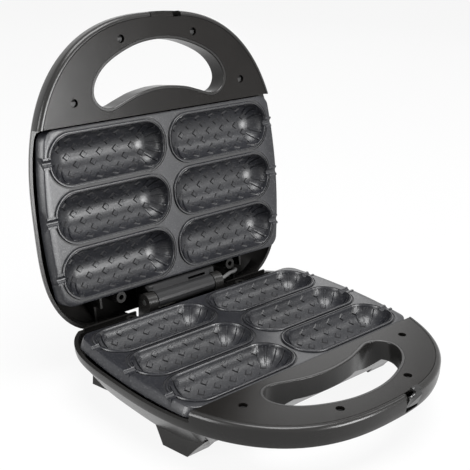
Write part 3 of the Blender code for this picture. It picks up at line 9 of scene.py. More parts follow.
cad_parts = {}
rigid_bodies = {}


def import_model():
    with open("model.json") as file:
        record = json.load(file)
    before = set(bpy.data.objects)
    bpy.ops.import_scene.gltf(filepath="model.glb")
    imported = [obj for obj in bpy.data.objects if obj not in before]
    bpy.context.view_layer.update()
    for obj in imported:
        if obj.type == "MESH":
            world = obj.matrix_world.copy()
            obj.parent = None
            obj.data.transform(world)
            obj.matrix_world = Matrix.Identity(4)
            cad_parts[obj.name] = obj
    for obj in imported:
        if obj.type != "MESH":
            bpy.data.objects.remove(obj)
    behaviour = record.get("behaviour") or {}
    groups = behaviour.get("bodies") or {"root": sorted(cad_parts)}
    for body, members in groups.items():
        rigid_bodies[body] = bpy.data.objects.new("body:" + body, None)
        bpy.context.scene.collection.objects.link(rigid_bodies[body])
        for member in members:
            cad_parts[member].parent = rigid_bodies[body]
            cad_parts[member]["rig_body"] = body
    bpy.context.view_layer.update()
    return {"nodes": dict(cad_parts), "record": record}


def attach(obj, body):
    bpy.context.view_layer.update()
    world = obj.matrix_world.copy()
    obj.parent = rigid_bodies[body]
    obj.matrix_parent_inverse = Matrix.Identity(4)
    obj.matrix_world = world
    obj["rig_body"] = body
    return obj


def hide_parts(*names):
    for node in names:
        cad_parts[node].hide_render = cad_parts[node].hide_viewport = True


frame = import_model()
NODES = frame["nodes"]

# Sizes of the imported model, in metres; the visible pieces have more steps round their curves.
# A "front" is a distance to the front of the hinge line, a "level" is a depth below the face
# and a "share" is a part of another size.

# Rim, shared by both halves
FACE_HEIGHT = 0.0500
FACE_GAP = 0.0007
FIT = 0.0003
OVERRUN = 0.0010
WELD = 0.000001
RIM_HALF_WIDTH = 0.1283
RIM_CENTRE = 0.0850
RIM_FRONT_REACH = 0.1520
RIM_FRONT = RIM_CENTRE + RIM_FRONT_REACH
RIM_REAR_REACH = 0.1080
RIM_REAR = 0.0130
WIDE = RIM_HALF_WIDTH + OVERRUN
FAR_REAR = RIM_REAR + OVERRUN
FRONT_POWER = 2.5
REAR_POWER = 3.5
CORNER_POWER = 40.0
RAYS = 176
SHELL_WALL = 0.0023
FLOOR_WALL = 0.0025
SIDE_RIM_DROP = 0.0090
HANDLE_DEPTH = 0.0160
BULLNOSE = 0.0035
BULLNOSE_INSET = 0.0026
BULLNOSE_SHARES = ((1.0, 0.0), (0.66, 0.09), (0.40, 0.26), (0.17, 0.50), (0.04, 0.76), (0.0, 1.0))
BASE_EDGE_INSET = 0.0013
LID_EDGE_INSET = 0.0032
EDGE_START = 0.0100
EDGE_MIDDLE_SHARE = 0.67
BLOCK_FRONT = 0.1563

# Hull of the base and dome of the lid
HULL_DEPTH = 0.0400
HULL_SIDE_TAPER = 0.0175
HULL_FRONT = 0.1717
HULL_FRONT_TAPER = 0.0220
HULL_REAR_TAPER = 0.0040
HULL_BOTTOM_ROUND = 0.0030
HULL_ROUND_SHARE = 0.92
REAR_RELIEF_DEPTH = 0.0175
REAR_RELIEF_START = 0.0055
DOME_HEIGHT = 0.0480
DOME_SIDE_RUN = 0.0950
DOME_FRONT = 0.1660
DOME_FRONT_RUN = 0.0860
DOME_REAR_RUN = 0.0480
DOME_SHARES = (
    (0.333, 0.034, 0.00, 0.00),
    (0.438, 0.074, 0.03, 0.00),
    (0.583, 0.134, 0.10, 0.05),
    (0.750, 0.253, 0.25, 0.25),
    (0.885, 0.442, 0.45, 0.50),
    (0.969, 0.716, 0.77, 0.80),
    (1.000, 1.000, 1.00, 1.00),
)
DOME_WALL_SHARES = ((1.0, 0.0), (1.0, 0.2), (0.9, 0.5), (0.7, 0.8), (0.5, 0.9), (0.3, 1.0), (0.2, 1.0))
HOLLOW_LEVELS = (1, 3, 4, 5, 6)
REAR_WINDOW_HALF = 0.0470
REAR_WINDOW_DEPTH = 0.0245

# Handle: channel, cover and finger hole
LIP_WIDTH = 0.0037
CHANNEL_WALL = 0.0062
CHANNEL_FLOOR = 0.0020
CHANNEL_REAR_WALL = 0.0026
COVER_THICKNESS = 0.0026
COVER_CHAMFER = 0.0005
CHAMFER_SHARE = 0.3
HOLE_LIP = 0.0024
HOLE_LEDGE = 0.0022
HOLE_HALF_WIDTH = 0.0668
HOLE_REAR = 0.1655
HOLE_DEPTH = 0.0493
HOLE_EDGE = ((0.0012, -0.0004), (0.0007, 0.0), (0.00025, 0.0003), (-0.0001, 0.0010))
HOLE_SHARES = (
    (0.00, 1.000), (0.30, 0.959), (0.584, 0.832), (0.816, 0.659), (0.958, 0.446), (1.00, 0.233),
    (0.928, 0.061), (0.78, 0.000), (0.57, 0.087), (0.374, 0.170), (0.15, 0.219), (0.00, 0.229),
)
HOLE_STEPS = 10
COVER_SCREWS = ((0.0860, 0.1732), (0.0368068, 0.2180))

# Posts and ribs inside the shells
PEG_RADIUS = 0.0015
PEG_LENGTH = 0.0050
CORNER_POST_X = 0.1110
CORNER_POST_Y = 0.0610
REFLECTOR_LOW = 0.0248
REFLECTOR_POST_X = 0.0800
POST_RADIUS = 0.0040
RING_POST_X = 0.0600444
RING_POST_FRONT = 0.0093
RING_POST_RADIUS = 0.00475
RING_POST_BORE = 0.00225
RING_POST_TOP = 0.0040
RING_POST_BORE_DEPTH = 0.0140
REAR_RIB_X = 0.07698
REAR_RIB_THICKNESS = 0.0020
REAR_RIB_FRONT = 0.0139
REAR_RIB_REAR = 0.0030
CROSS_RIB_REAR = 0.0030
CROSS_RIB_FRONT = 0.0008
CROSS_RIB_TOP = 0.0060
CROSS_RIB_STEP = 0.0002
CROSS_RIB_LEFT = 0.0480
CROSS_RIB_OUTER = 0.1000
CORD_WAY_HALF = 0.0100
CORD_WAY_TOP = 0.0170
SILL_REAR = 0.0060
SILL_FRONT = 0.0030
SILL_TOP = 0.0082
SILL_LOW = 0.0110
SCREW_HEAD_RADIUS = 0.0030
SCREW_BORE = 0.0017
SCREW_LENGTH = 0.0080
SCREW_RECESS = 0.0045
CUP_WALL = 0.0013
SCREW_CUP = SCREW_HEAD_RADIUS + FIT + CUP_WALL

# Hinge
LUG_INNER = 0.0316
LUG_OUTER = 0.0410
LUG_STEP = 0.0020
LUG_STEPS = 12
BARREL_RADIUS = 0.0080
PIN_RADIUS = 0.0025
ARM_HEIGHT = 0.0250
ARM_FLANGE_THICKNESS = 0.0024
ARM_SCREW_X = 0.0200
ARM_SCREW_FRONT = 0.0040
ARM_POST_RADIUS = 0.0045

# Latch, and the lid's tongue that it hooks over
LATCH_X = 0.0210
LATCH_WIDTH = 0.0142
LATCH_GAP = 0.0004
LATCH_RECESS_FRONT = 0.2292
LATCH_RECESS_DEPTH = 0.0144
LATCH_BACK_WALL = 0.0035
LATCH_SIDE_WALL = 0.0020
LATCH_PIN_FRONT = 0.2325
LATCH_PIN_LEVEL = 0.0110
LATCH_PIN_RADIUS = 0.0012
LID_NOTCH_LEFT = 0.0060
LID_NOTCH_RIGHT = 0.0256
LID_TONGUE_LEFT = 0.0050
LID_TONGUE_RIGHT = 0.0170
LID_TONGUE_FRONT = 0.2360
LID_TONGUE_DEPTH = 0.0084
LID_CATCH_FRONT = 0.2313

# Feet: a foot's sizes are its outer side, front, width and depth
FOOT_CLEAR = 0.0008
PAD_RADIUS = 0.0070
PAD_THICKNESS = 0.0022
FRONT_FOOT = (0.1120, 0.1410, 0.0200, 0.0230)
REAR_FOOT = (0.1024, 0.0320, 0.0190, 0.0190)
FOOT_TOP = 0.0300
FRONT_FOOT_SPREADS = (0.0200, 0.0160)
FOOT_SKEW_SHARE = 0.2
FOOT_DRAWN_SHARES = (1.0, 0.45, 0.0)
PAD_PLACE_SHARE = 0.6

# Gland, terminal block and lenses
GLAND_X = 0.0640217
GLAND_LEVEL = 0.0270
GLAND_RADIUS = 0.0049
GLAND_PAD_RADIUS = 0.0090
GLAND_PAD_INNER = 0.0058
BLOCK_X = 0.0120
BLOCK_SEAT_WIDTH = 0.0100
BLOCK_SEAT_HEIGHT = 0.0025
LENS_X = 0.0110
LENS_FRONT = 0.1120
LENS_RADIUS = 0.0040
LENS_FLANGE_LEVEL = 0.0412

# Cooking plates; a "grow" is how far a line lies outside a trough's outline
PLATE_HALF_WIDTH = 0.1235
PLATE_HALF_DEPTH = 0.0705
PLATE_CENTRE = RIM_CENTRE
PLATE_BOW_RADIUS = 0.3900
PLATE_CORNER = 0.0110
PLATE_SKIRT = 0.0086
PLATE_WALL = 0.0025
EDGE_ROUND = 0.0007
EDGE_SHARE = 0.3
FLANK_LEFT = 0.0030
FLANK_RIGHT = 0.0008
FLANK_PART = 0.9
FIELD_DROP = 0.0012
TROUGH_X = 0.0580
TROUGH_PITCH = 0.0458
TROUGH_HALF_LENGTH = 0.0534
TROUGH_HALF_WIDTH = 0.0191
TROUGH_DEPTH = 0.0160
TROUGH_ROUND_SHARE = 0.93
TROUGH_GROW = 0.0004
TROUGH_STEPS = (3, 22)
TROUGH_DEGREES = (2.5, 7, 13, 20, 27, 34, 41, 48, 55, 62, 69, 75, 81, 86)
BOWL_STEPS = (2, 8)
BOWL_DEGREES = (8, 20, 34, 48, 62, 75, 86)
BOWL_TOP_SHARE = 1.5
BAND_STEPS = (2, 14)
BEAD_WIDTH = 0.0023
BEAD_SLOPE = 0.0003
BEAD_ROUND = 0.0002
BEAD_ROOT = 0.0009
MOAT_OUTER = 0.0039
MOAT_DEPTH = 0.0006
LINE_OUTER = 0.0015
LINE_INNER = 0.0006
LINE_DEPTH = 0.0009
LINE_ROOT = 0.0003
STICK_RADIUS = 0.0030
STICK_WALL = 0.0015
STICK_SIDES = 28
GUIDE_REACH = 0.0008
GUIDE_RAISE = 0.0005
GUIDE_ROOT = 0.0005

# Relief in the troughs; the rings of a lozenge are a size share and a rise, and a rib's spacing,
# start and run are in degrees
DIAMOND_PITCH = 0.0156
DIAMOND_ROW = math.radians(22.5)
DIAMOND_LENGTH = 0.0031
DIAMOND_BREADTH = 0.0029
DIAMOND_HEIGHT = 0.0008
DIAMOND_RINGS = ((1.35, -0.0004), (1.16, 0.0001), (0.88, DIAMOND_HEIGHT), (0.45, DIAMOND_HEIGHT),
                 (0.05, DIAMOND_HEIGHT))
DIAMOND_SWING_LIMIT = 1.5
DIAMOND_END_GAP = 0.0135
DIAMOND_ROWS = range(-3, 4)
DIAMOND_COLUMNS = range(-4, 5)
RIB_PLACES = range(-3, 4)
RIB_SPACING = 24.0
RIB_HEIGHT = 0.0009
RIB_HALF_WIDTH = 0.0009
RIB_FOOT = -0.0005
RIB_FOOT_SWAY = 1.3
RIB_TOP_SWAY = 0.75
RIB_MIDDLE_SHARE = 1.12
RIB_STEPS = 9
RIB_START = 2.0
RIB_RUN = 56.0
RIB_FADE = 4.0
RIB_RIM_SHARE = 0.7
RIB_END_SHARE = 0.1
RIB_LEAST_REACH = 0.004
SLOPE_STEP = 0.0002

# Meshes
MIDDLE_SIDES = 40
PLAIN_SIDES = 32
SMALL_SIDES = 20
MERGE_SPAN = 0.000001
NODE_WELD = 0.000002
FLAT_WEIGHT = 80
SHARP_DEGREES = 30.0
PLATE_SHARP_DEGREES = 38.0

OPEN_ANGLE = math.radians(99.26)
HINGE_BACK = 0.0880

# Places as x and front
SIDES = (-1, 1)
COVER_SCREW_PLACES = [(side * x, front) for side in SIDES for x, front in COVER_SCREWS]
CORNER_POSTS = [(side * CORNER_POST_X, PLATE_CENTRE + row * CORNER_POST_Y) for side in SIDES for row in SIDES]
REFLECTOR_POSTS = [(side * REFLECTOR_POST_X, PLATE_CENTRE + row * TROUGH_PITCH / 2)
                   for side in SIDES for row in SIDES]
RING_POSTS = [(side * RING_POST_X, RING_POST_FRONT) for side in SIDES]
ARM_SCREWS = [(side * ARM_SCREW_X, ARM_SCREW_FRONT) for side in SIDES]
TROUGHS = [(side * TROUGH_X, PLATE_CENTRE + row * TROUGH_PITCH) for row in (-1, 0, 1) for side in SIDES]
FEET = [(side, *foot) for side in SIDES for foot in (
    (FRONT_FOOT, FRONT_FOOT_SPREADS), (REAR_FOOT, (HULL_BOTTOM_ROUND, HULL_BOTTOM_ROUND)))]

# Placing matrices for pieces drawn with the hinge line as x axis, the front as -y and the face as z = 0
TO_BASE = Matrix.Translation((0.0, HINGE_BACK, FACE_HEIGHT))
TO_LID = (Matrix.Translation((0.0, HINGE_BACK, FACE_HEIGHT + FACE_GAP / 2))
          @ Matrix.Rotation(-OPEN_ANGLE, 4, "X")
          @ Matrix.Translation((0.0, 0.0, FACE_GAP / 2))
          @ Matrix.Scale(-1.0, 4, (0.0, 0.0, 1.0)))


# Mesh helpers

def link_object(name, data):
    made = bpy.data.objects.new(name, data)
    bpy.context.scene.collection.objects.link(made)
    return made


def new_object(name, body):
    bmesh.ops.recalc_face_normals(body, faces=body.faces)
    mesh = bpy.data.meshes.new(name)
    body.to_mesh(mesh)
    body.free()
    return link_object(name, mesh)


def evaluated_mesh(item):
    """Mesh of an object as its modifiers leave it."""
    graph = bpy.context.evaluated_depsgraph_get()
    return bpy.data.meshes.new_from_object(item.evaluated_get(graph))


def apply_modifiers(item):
    mesh = evaluated_mesh(item)
    item.modifiers.clear()
    item.data = mesh


def join_rings(body, rings, painted_shade_rows=0):
    """Closed shape through rings of equal point count; its first rows may carry painted shade."""
    rows = [[body.verts.new(point) for point in ring] for ring in rings]
    count = len(rings[0])
    for row, (upper, lower) in enumerate(zip(rows, rows[1:])):
        for index in range(count):
            after = (index + 1) % count
            face = body.faces.new((upper[index], upper[after], lower[after], lower[index]))
            face.material_index = 1 if row < painted_shade_rows else 0
    body.faces.new(rows[0])
    body.faces.new(list(reversed(rows[-1])))


def loft(name, rings):
    """Closed solid through rings, with its bent faces cut into triangles."""
    body = bmesh.new()
    join_rings(body, rings)
    bmesh.ops.triangulate(body, faces=[face for face in body.faces if len(face.verts) == 4])
    return new_object(name, body)


def side_plate(name, outline, left, right):
    """An outline of y and height, extruded along x."""
    body = bmesh.new()
    join_rings(body, [[(across, y, z) for y, z in outline] for across in (left, right)])
    return new_object(name, body)


def flat(name, outline, low, high):
    """A flat outline, given as x and distance to the front, extruded between two heights."""
    curve = bpy.data.curves.new(name, "CURVE")
    curve.dimensions = "2D"
    curve.fill_mode = "BOTH"
    curve.extrude = (high - low) / 2
    line = curve.splines.new("POLY")
    line.points.add(len(outline) - 1)
    for point, (across, front) in zip(line.points, outline):
        point.co = (across, -front, 0.0, 1.0)
    line.use_cyclic_u = True
    shape = link_object(name, curve)
    mesh = evaluated_mesh(shape)
    body = bmesh.new()
    body.from_mesh(mesh)
    bmesh.ops.remove_doubles(body, verts=body.verts, dist=WELD)
    bpy.data.meshes.remove(mesh)
    bpy.data.objects.remove(shape)
    bmesh.ops.translate(body, verts=body.verts, vec=(0.0, 0.0, (high + low) / 2))
    return new_object(name, body)


def box(name, left, right, rear, front, low, high):
    body = bmesh.new()
    bmesh.ops.create_cube(body, size=1.0)
    bmesh.ops.scale(body, verts=body.verts, vec=(right - left, front - rear, high - low))
    middle = ((left + right) / 2, -(front + rear) / 2, (low + high) / 2)
    bmesh.ops.translate(body, verts=body.verts, vec=middle)
    return new_object(name, body)


def round_bar(name, radius, length, middle, segments, lean=None):
    """Cylinder round its middle, upright or laid down by a turn about the axis it leans round."""
    body = bmesh.new()
    bmesh.ops.create_cone(body, cap_ends=True, segments=segments, radius1=radius, radius2=radius,
                          depth=length)
    if lean:
        bmesh.ops.rotate(body, verts=body.verts, matrix=Matrix.Rotation(math.pi / 2, 3, lean))
    bmesh.ops.translate(body, verts=body.verts, vec=middle)
    return new_object(name, body)


def rod(name, radius, left, right, place, segments=MIDDLE_SIDES):
    """Cylinder along x, at distance to the front and height."""
    return round_bar(name, radius, right - left, ((left + right) / 2, -place[0], place[1]), segments, "Y")


def barrel(name, radius, rear, front, place):
    """Cylinder along y between two distances to the front, at x and height."""
    middle = (place[0], -(front + rear) / 2, place[1])
    return round_bar(name, radius, front - rear, middle, MIDDLE_SIDES, "X")


def cylinder(name, radius, place, low, high, segments=PLAIN_SIDES):
    """Upright cylinder at x and distance to the front."""
    return round_bar(name, radius, high - low, (place[0], -place[1], (high + low) / 2), segments)


def combine(target, tool, operation):
    modifier = target.modifiers.new("combine", "BOOLEAN")
    modifier.operation = operation
    modifier.solver = "EXACT"
    modifier.object = tool
    apply_modifiers(target)
    bpy.data.objects.remove(tool)


def cut(target, tool):
    """Take the tool away from a working piece."""
    combine(target, tool, "DIFFERENCE")


def add(target, tool):
    """Join the tool to a working piece."""
    combine(target, tool, "UNION")


def put(made, name, body_name, look, slot_name, place, *nodes, angle=SHARP_DEGREES):
    """Move a piece to its place, shade it and let it stand for its nodes."""
    mesh = made.data
    mesh.transform(place)
    if place.determinant() < 0:
        mesh.flip_normals()
    mesh.shade_smooth()
    mesh.set_sharp_from_angle(angle=math.radians(angle))
    indices = [face.material_index for face in mesh.polygons]
    mesh.materials.clear()
    mesh.materials.append(look)
    mesh.polygons.foreach_set("material_index", indices)
    made.name = name
    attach(made, body_name)
    if nodes:
        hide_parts(*nodes)


def finish(made, name, look, in_lid):
    """Place a shell or a cover, with normals that keep its wide faces flat."""
    body = bmesh.new()
    body.from_mesh(made.data)
    bmesh.ops.triangulate(body, faces=body.faces)
    bmesh.ops.dissolve_degenerate(body, dist=MERGE_SPAN, edges=body.edges)
    body.to_mesh(made.data)
    body.free()
    body_name, place = ("lid", TO_LID) if in_lid else ("base", TO_BASE)
    put(made, name + "_look", body_name, look, SLOTS[name], place, name)
    modifier = made.modifiers.new("flat_faces", "WEIGHTED_NORMAL")
    modifier.keep_sharp = True
    modifier.weight = FLAT_WEIGHT
    apply_modifiers(made)


def skin(node, look, slot_name):
    """A smooth-shaded copy of a node's shape that stands for it."""
    body = bmesh.new()
    body.from_mesh(NODES[node].data)
    bmesh.ops.remove_doubles(body, verts=body.verts, dist=NODE_WELD)
    made = new_object(node + "_look", body)
    put(made, node + "_look", NODES[node]["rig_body"], look, slot_name, Matrix.Identity(4), node)


# Materials

SLOW_NOISE = (22.0, 3.0)
SPECK_NOISE = (900.0, 2.0)
GRAIN_SCALE = 1500.0
GRAIN_DETAIL = 2.0
GRAIN_REACH = 0.0002
MOTTLE_STOPS = (0.35, 0.65)
SPECK_STOPS = (0.56, 0.72)


def link(tree, source, target):
    tree.links.new(source, target)


def noise(tree, place, scale, detail):
    made = tree.nodes.new("ShaderNodeTexNoise")
    made.inputs["Scale"].default_value = scale
    made.inputs["Detail"].default_value = detail
    link(tree, place.outputs["Object"], made.inputs["Vector"])
    return made.outputs["Fac"]


def ramp(tree, source, stops, colours):
    made = tree.nodes.new("ShaderNodeValToRGB")
    for element, stop, colour in zip(made.color_ramp.elements, stops, colours):
        element.position = stop
        element.color = (*colour, 1.0)
    link(tree, source, made.inputs["Fac"])
    return made.outputs["Color"]


def surface(name, colour, roughness, metallic=0.0, speck=0.0, grain=0.0, grain_scale=GRAIN_SCALE,
            mottle=0.0, rough_change=0.0, specular=0.5):
    """Moulded or coated surface: slow mottling, fine specks and a grain in its bump."""
    made = bpy.data.materials.new(name)
    made.use_nodes = True
    tree = made.node_tree
    shader = tree.nodes["Principled BSDF"]
    shader.inputs["Roughness"].default_value = roughness
    shader.inputs["Metallic"].default_value = metallic
    shader.inputs["Specular IOR Level"].default_value = specular
    place = tree.nodes.new("ShaderNodeTexCoord")
    slow = noise(tree, place, *SLOW_NOISE)
    fast = noise(tree, place, *SPECK_NOISE)
    tones = [[value * (1.0 + way * mottle) for value in colour] for way in (-1, 1)]
    mix = tree.nodes.new("ShaderNodeMix")
    mix.data_type = "RGBA"
    mix.blend_type = "ADD"
    mix.inputs[0].default_value = 1.0
    link(tree, ramp(tree, slow, MOTTLE_STOPS, tones), mix.inputs[6])
    link(tree, ramp(tree, fast, SPECK_STOPS, ((0.0, 0.0, 0.0), (speck, speck, speck))), mix.inputs[7])
    link(tree, mix.outputs[2], shader.inputs["Base Color"])
    if rough_change:
        change = tree.nodes.new("ShaderNodeMapRange")
        change.inputs["To Min"].default_value = roughness - rough_change
        change.inputs["To Max"].default_value = roughness + rough_change
        link(tree, slow, change.inputs["Value"])
        link(tree, change.outputs["Result"], shader.inputs["Roughness"])
    if grain:
        bump = tree.nodes.new("ShaderNodeBump")
        bump.inputs["Strength"].default_value = grain
        bump.inputs["Distance"].default_value = GRAIN_REACH
        link(tree, noise(tree, place, grain_scale, GRAIN_DETAIL), bump.inputs["Height"])
        link(tree, bump.outputs["Normal"], shader.inputs["Normal"])
    return made


HOUSING = surface("housing_plastic", (0.0100, 0.0096, 0.0092), 0.25, specular=0.27, grain=0.20, mottle=0.06,
                  rough_change=0.04)
COVER_LOOK = surface("cover_plastic", (0.0058, 0.0052, 0.0047), 0.245, specular=0.14, grain=0.22, mottle=0.08,
                     rough_change=0.04)
COATING = surface("plate_coating", (0.008, 0.0084, 0.0105), 0.33, specular=0.40, speck=0.04, grain=0.42,
                  grain_scale=800.0, mottle=0.15, rough_change=0.07)
# Darker, rougher coating that paints shade into the moat and line grooves and onto the lozenges' sides
PAINTED_SHADE_COATING = surface("coating_painted_shade", (0.006, 0.006, 0.007), 0.55, grain=0.3, mottle=0.1)
SLOT_LOOKS = {
    "steel": surface("steel", (0.55, 0.55, 0.54), 0.30, metallic=1.0, grain=0.1, mottle=0.05),
    "heater_steel": surface("heater_steel", (0.25, 0.24, 0.22), 0.45, metallic=1.0, grain=0.2, mottle=0.2),
    "reflector_aluminium": surface("aluminium", (0.72, 0.72, 0.72), 0.32, metallic=1.0, grain=0.1,
                                   mottle=0.05),
    "screw_metal": surface("screw_metal", (0.020, 0.020, 0.020), 0.45, metallic=0.6, grain=0.2, mottle=0.1),
    "hinge_grey": surface("hinge_grey", (0.014, 0.014, 0.0145), 0.28, specular=0.20, grain=0.1, mottle=0.04),
    "clip_black": surface("clip_black", (0.010, 0.010, 0.010), 0.16, grain=0.03, mottle=0.05),
    "rubber": surface("rubber", (0.018, 0.018, 0.018), 0.80, grain=0.4, mottle=0.1),
    "lead_sleeve": surface("lead_sleeve", (0.06, 0.06, 0.06), 0.50, grain=0.5, mottle=0.1),
    "terminal_ceramic": surface("ceramic", (0.72, 0.70, 0.65), 0.45, grain=0.1, mottle=0.03),
    "red_lens": surface("red_lens", (0.45, 0.02, 0.015), 0.12, grain=0.02, mottle=0.05),
    "green_lens": surface("green_lens", (0.03, 0.32, 0.06), 0.12, grain=0.02, mottle=0.05),
    "housing": HOUSING,
}
SLOTS = {item["node"]: item["material_slot"] for item in frame["record"]["subparts"]}


# Cooking plates

def plate_outline(inset):
    """Outline with bowed sides and round corners, built from a quarter of it."""
    side_steps = 6
    corner_steps = 10
    bow = PLATE_BOW_RADIUS - inset
    corner = PLATE_CORNER - inset
    middle = PLATE_HALF_WIDTH - PLATE_BOW_RADIUS
    depth = PLATE_HALF_DEPTH - PLATE_CORNER
    corner_x = middle + math.sqrt((PLATE_BOW_RADIUS - PLATE_CORNER) ** 2 - depth ** 2)
    turn = math.atan2(depth, corner_x - middle)
    quarter = []
    for step in range(side_steps):
        angle = turn * step / side_steps
        quarter.append((middle + bow * math.cos(angle), bow * math.sin(angle)))
    for step in range(corner_steps + 1):
        angle = turn + (math.pi / 2 - turn) * step / corner_steps
        quarter.append((corner_x + corner * math.cos(angle), depth + corner * math.sin(angle)))
    half = quarter + [(-x, y) for x, y in reversed(quarter)]
    low = [(x, -y) for x, y in reversed(half)]
    return [(x, PLATE_CENTRE + y) for x, y in half + low[1:-1]]


def trough_outline(centre, grow, straight, corner_steps):
    """Rounded oblong; straight and corner_steps count its points per long side and corner."""
    half_length = TROUGH_HALF_LENGTH + grow
    half_width = TROUGH_HALF_WIDTH + grow
    corner = half_width * TROUGH_ROUND_SHARE
    points = []
    for quadrant in range(4):
        side_x = 1 if quadrant in (0, 3) else -1
        side_y = 1 if quadrant in (0, 1) else -1
        for step in range(corner_steps + 1):
            angle = (quadrant + step / corner_steps) * math.pi / 2
            x = centre[0] + side_x * (half_length - corner) + corner * math.cos(angle)
            y = centre[1] + side_y * (half_width - corner) + corner * math.sin(angle)
            points.append((x, y))
        if quadrant in (0, 2):
            reach = 2 * (half_length - corner)
            for step in range(1, straight):
                points.append((points[-1][0] - side_x * reach / straight, points[-1][1]))
    return points


def ring_at(outline, level):
    return [(x, -front, -level) for x, front in outline]


def trough_tool(centre):
    """Cutter of one trough: half an ellipse in section, with rounded ends."""
    rings = [ring_at(trough_outline(centre, TROUGH_GROW, *TROUGH_STEPS), level) for level in (-OVERRUN, 0.0)]
    for degrees in TROUGH_DEGREES:
        turn = math.radians(degrees)
        grow = -TROUGH_HALF_WIDTH * (1.0 - math.cos(turn))
        rings.append(ring_at(trough_outline(centre, grow, *TROUGH_STEPS), TROUGH_DEPTH * math.sin(turn)))
    return loft("trough", rings)


def trough_depth(x, y):
    """Depth of a trough's surface at a place counted from its middle."""
    edge = 1.0 - TROUGH_ROUND_SHARE
    u = max(0.0, abs(x) - TROUGH_HALF_LENGTH + TROUGH_HALF_WIDTH) / TROUGH_HALF_WIDTH
    v = abs(y) / TROUGH_HALF_WIDTH
    size = max(u, v)
    if min(u, v) > edge * size:
        square = TROUGH_ROUND_SHARE ** 2 - 2 * edge ** 2
        slope = 2 * edge * (u + v)
        size = (-slope + math.sqrt(slope ** 2 + 4 * square * (u * u + v * v))) / (2 * square)
    return TROUGH_DEPTH * math.sqrt(max(0.0, 1.0 - size * size))


def trough_point(centre, x, y, rise):
    """Point over a trough's surface, raised along the surface's normal."""
    step = SLOPE_STEP
    slope_x = (trough_depth(x + step, y) - trough_depth(x - step, y)) / (2 * step)
    slope_y = (trough_depth(x, y + step) - trough_depth(x, y - step)) / (2 * step)
    normal = Vector((slope_x, slope_y, 1.0)).normalized()
    place = Vector((x, y, -trough_depth(x, y))) + normal * rise
    return (centre[0] + place.x, -(centre[1] + place.y), place.z)


def add_diamond(body, centre, x, across):
    """A flat-topped lozenge that follows the trough's round section."""
    radius = math.hypot(TROUGH_HALF_WIDTH * math.cos(across), TROUGH_DEPTH * math.sin(across))
    rings = []
    for share, rise in DIAMOND_RINGS:
        ring = []
        for corner in range(4):
            for part in (0.0, 0.5):
                turn = (corner + part) * math.pi / 2
                reach = 1.0 if part == 0.0 else math.sqrt(0.5)
                along = DIAMOND_LENGTH * share * reach * math.cos(turn)
                swing = across + DIAMOND_BREADTH * share * reach * math.sin(turn) / radius
                swing = max(-DIAMOND_SWING_LIMIT, min(DIAMOND_SWING_LIMIT, swing))
                ring.append(trough_point(centre, x + along, TROUGH_HALF_WIDTH * math.sin(swing), rise))
        rings.append(ring)
    # The lozenge's two side rows carry painted shade
    join_rings(body, rings, 2)


def add_end_rib(body, centre, side, swing):
    """A low rib that runs from the rim down the round end of a trough."""
    flat_share = 1.0 - TROUGH_ROUND_SHARE
    rings = []
    for step in range(RIB_STEPS + 1):
        share = step / RIB_STEPS
        rise = RIB_HEIGHT * min(1.0, RIB_RIM_SHARE + RIB_FADE * share,
                                RIB_END_SHARE + RIB_FADE * (1.0 - share))
        reach = TROUGH_HALF_WIDTH * math.cos(math.radians(RIB_START + RIB_RUN * share))
        half = RIB_HALF_WIDTH / max(reach, RIB_LEAST_REACH)
        ring = []
        section = ((-RIB_FOOT_SWAY, RIB_FOOT), (-RIB_TOP_SWAY, rise), (0.0, rise * RIB_MIDDLE_SHARE),
                   (RIB_TOP_SWAY, rise), (RIB_FOOT_SWAY, RIB_FOOT))
        for sway, height in section:
            angle = swing + sway * half
            run = reach * (flat_share + TROUGH_ROUND_SHARE * math.cos(angle))
            x = side * (TROUGH_HALF_LENGTH - TROUGH_HALF_WIDTH + run)
            straight = math.copysign(flat_share * reach * abs(math.sin(angle)), math.sin(angle))
            y = reach * TROUGH_ROUND_SHARE * math.sin(angle) + straight
            ring.append(trough_point(centre, x, y, height))
        rings.append(ring)
    join_rings(body, rings)


def trough_relief(centre):
    """Raised lozenges and end ribs of one trough; the stick guide's end has no middle rib."""
    body = bmesh.new()
    for row in DIAMOND_ROWS:
        shift = 0.0 if row % 2 == 0 else DIAMOND_PITCH / 2
        for step in DIAMOND_COLUMNS:
            x = step * DIAMOND_PITCH + shift
            if abs(x) < TROUGH_HALF_LENGTH - DIAMOND_END_GAP:
                add_diamond(body, centre, x, row * DIAMOND_ROW)
    outer = 1 if centre[0] > 0 else -1
    for side in SIDES:
        for step in RIB_PLACES:
            if side != outer or step != 0:
                add_end_rib(body, centre, side, math.radians(RIB_SPACING * step))
    return new_object("relief", body)


def join_objects(target, others):
    """Put the meshes of other objects into one object."""
    body = bmesh.new()
    body.from_mesh(target.data)
    for other in others:
        body.from_mesh(other.data)
        bpy.data.objects.remove(other)
    body.to_mesh(target.data)
    body.free()


def flank_ring(part, inset, level):
    """Outline of the plate, drawn in by a part of the slope of its two flanks."""
    ring = []
    for x, front in plate_outline(inset):
        run = part * (FLANK_LEFT if x < 0 else FLANK_RIGHT)
        ring.append((x * (1.0 - run / PLATE_HALF_WIDTH), -front, -level))
    return ring


def with_painted_shade(tool):
    """Let a cutter leave its faces with painted shade, the darker coating that stands for shade in the
    groove.
    """
    for side in tool.data.polygons:
        side.material_index = 1
    return tool


def plate_band(centre, name, levels):
    """Solid round a trough through lines of a grow and a level each."""
    return loft(name, [ring_at(trough_outline(centre, grow, *BAND_STEPS), level) for grow, level in levels])


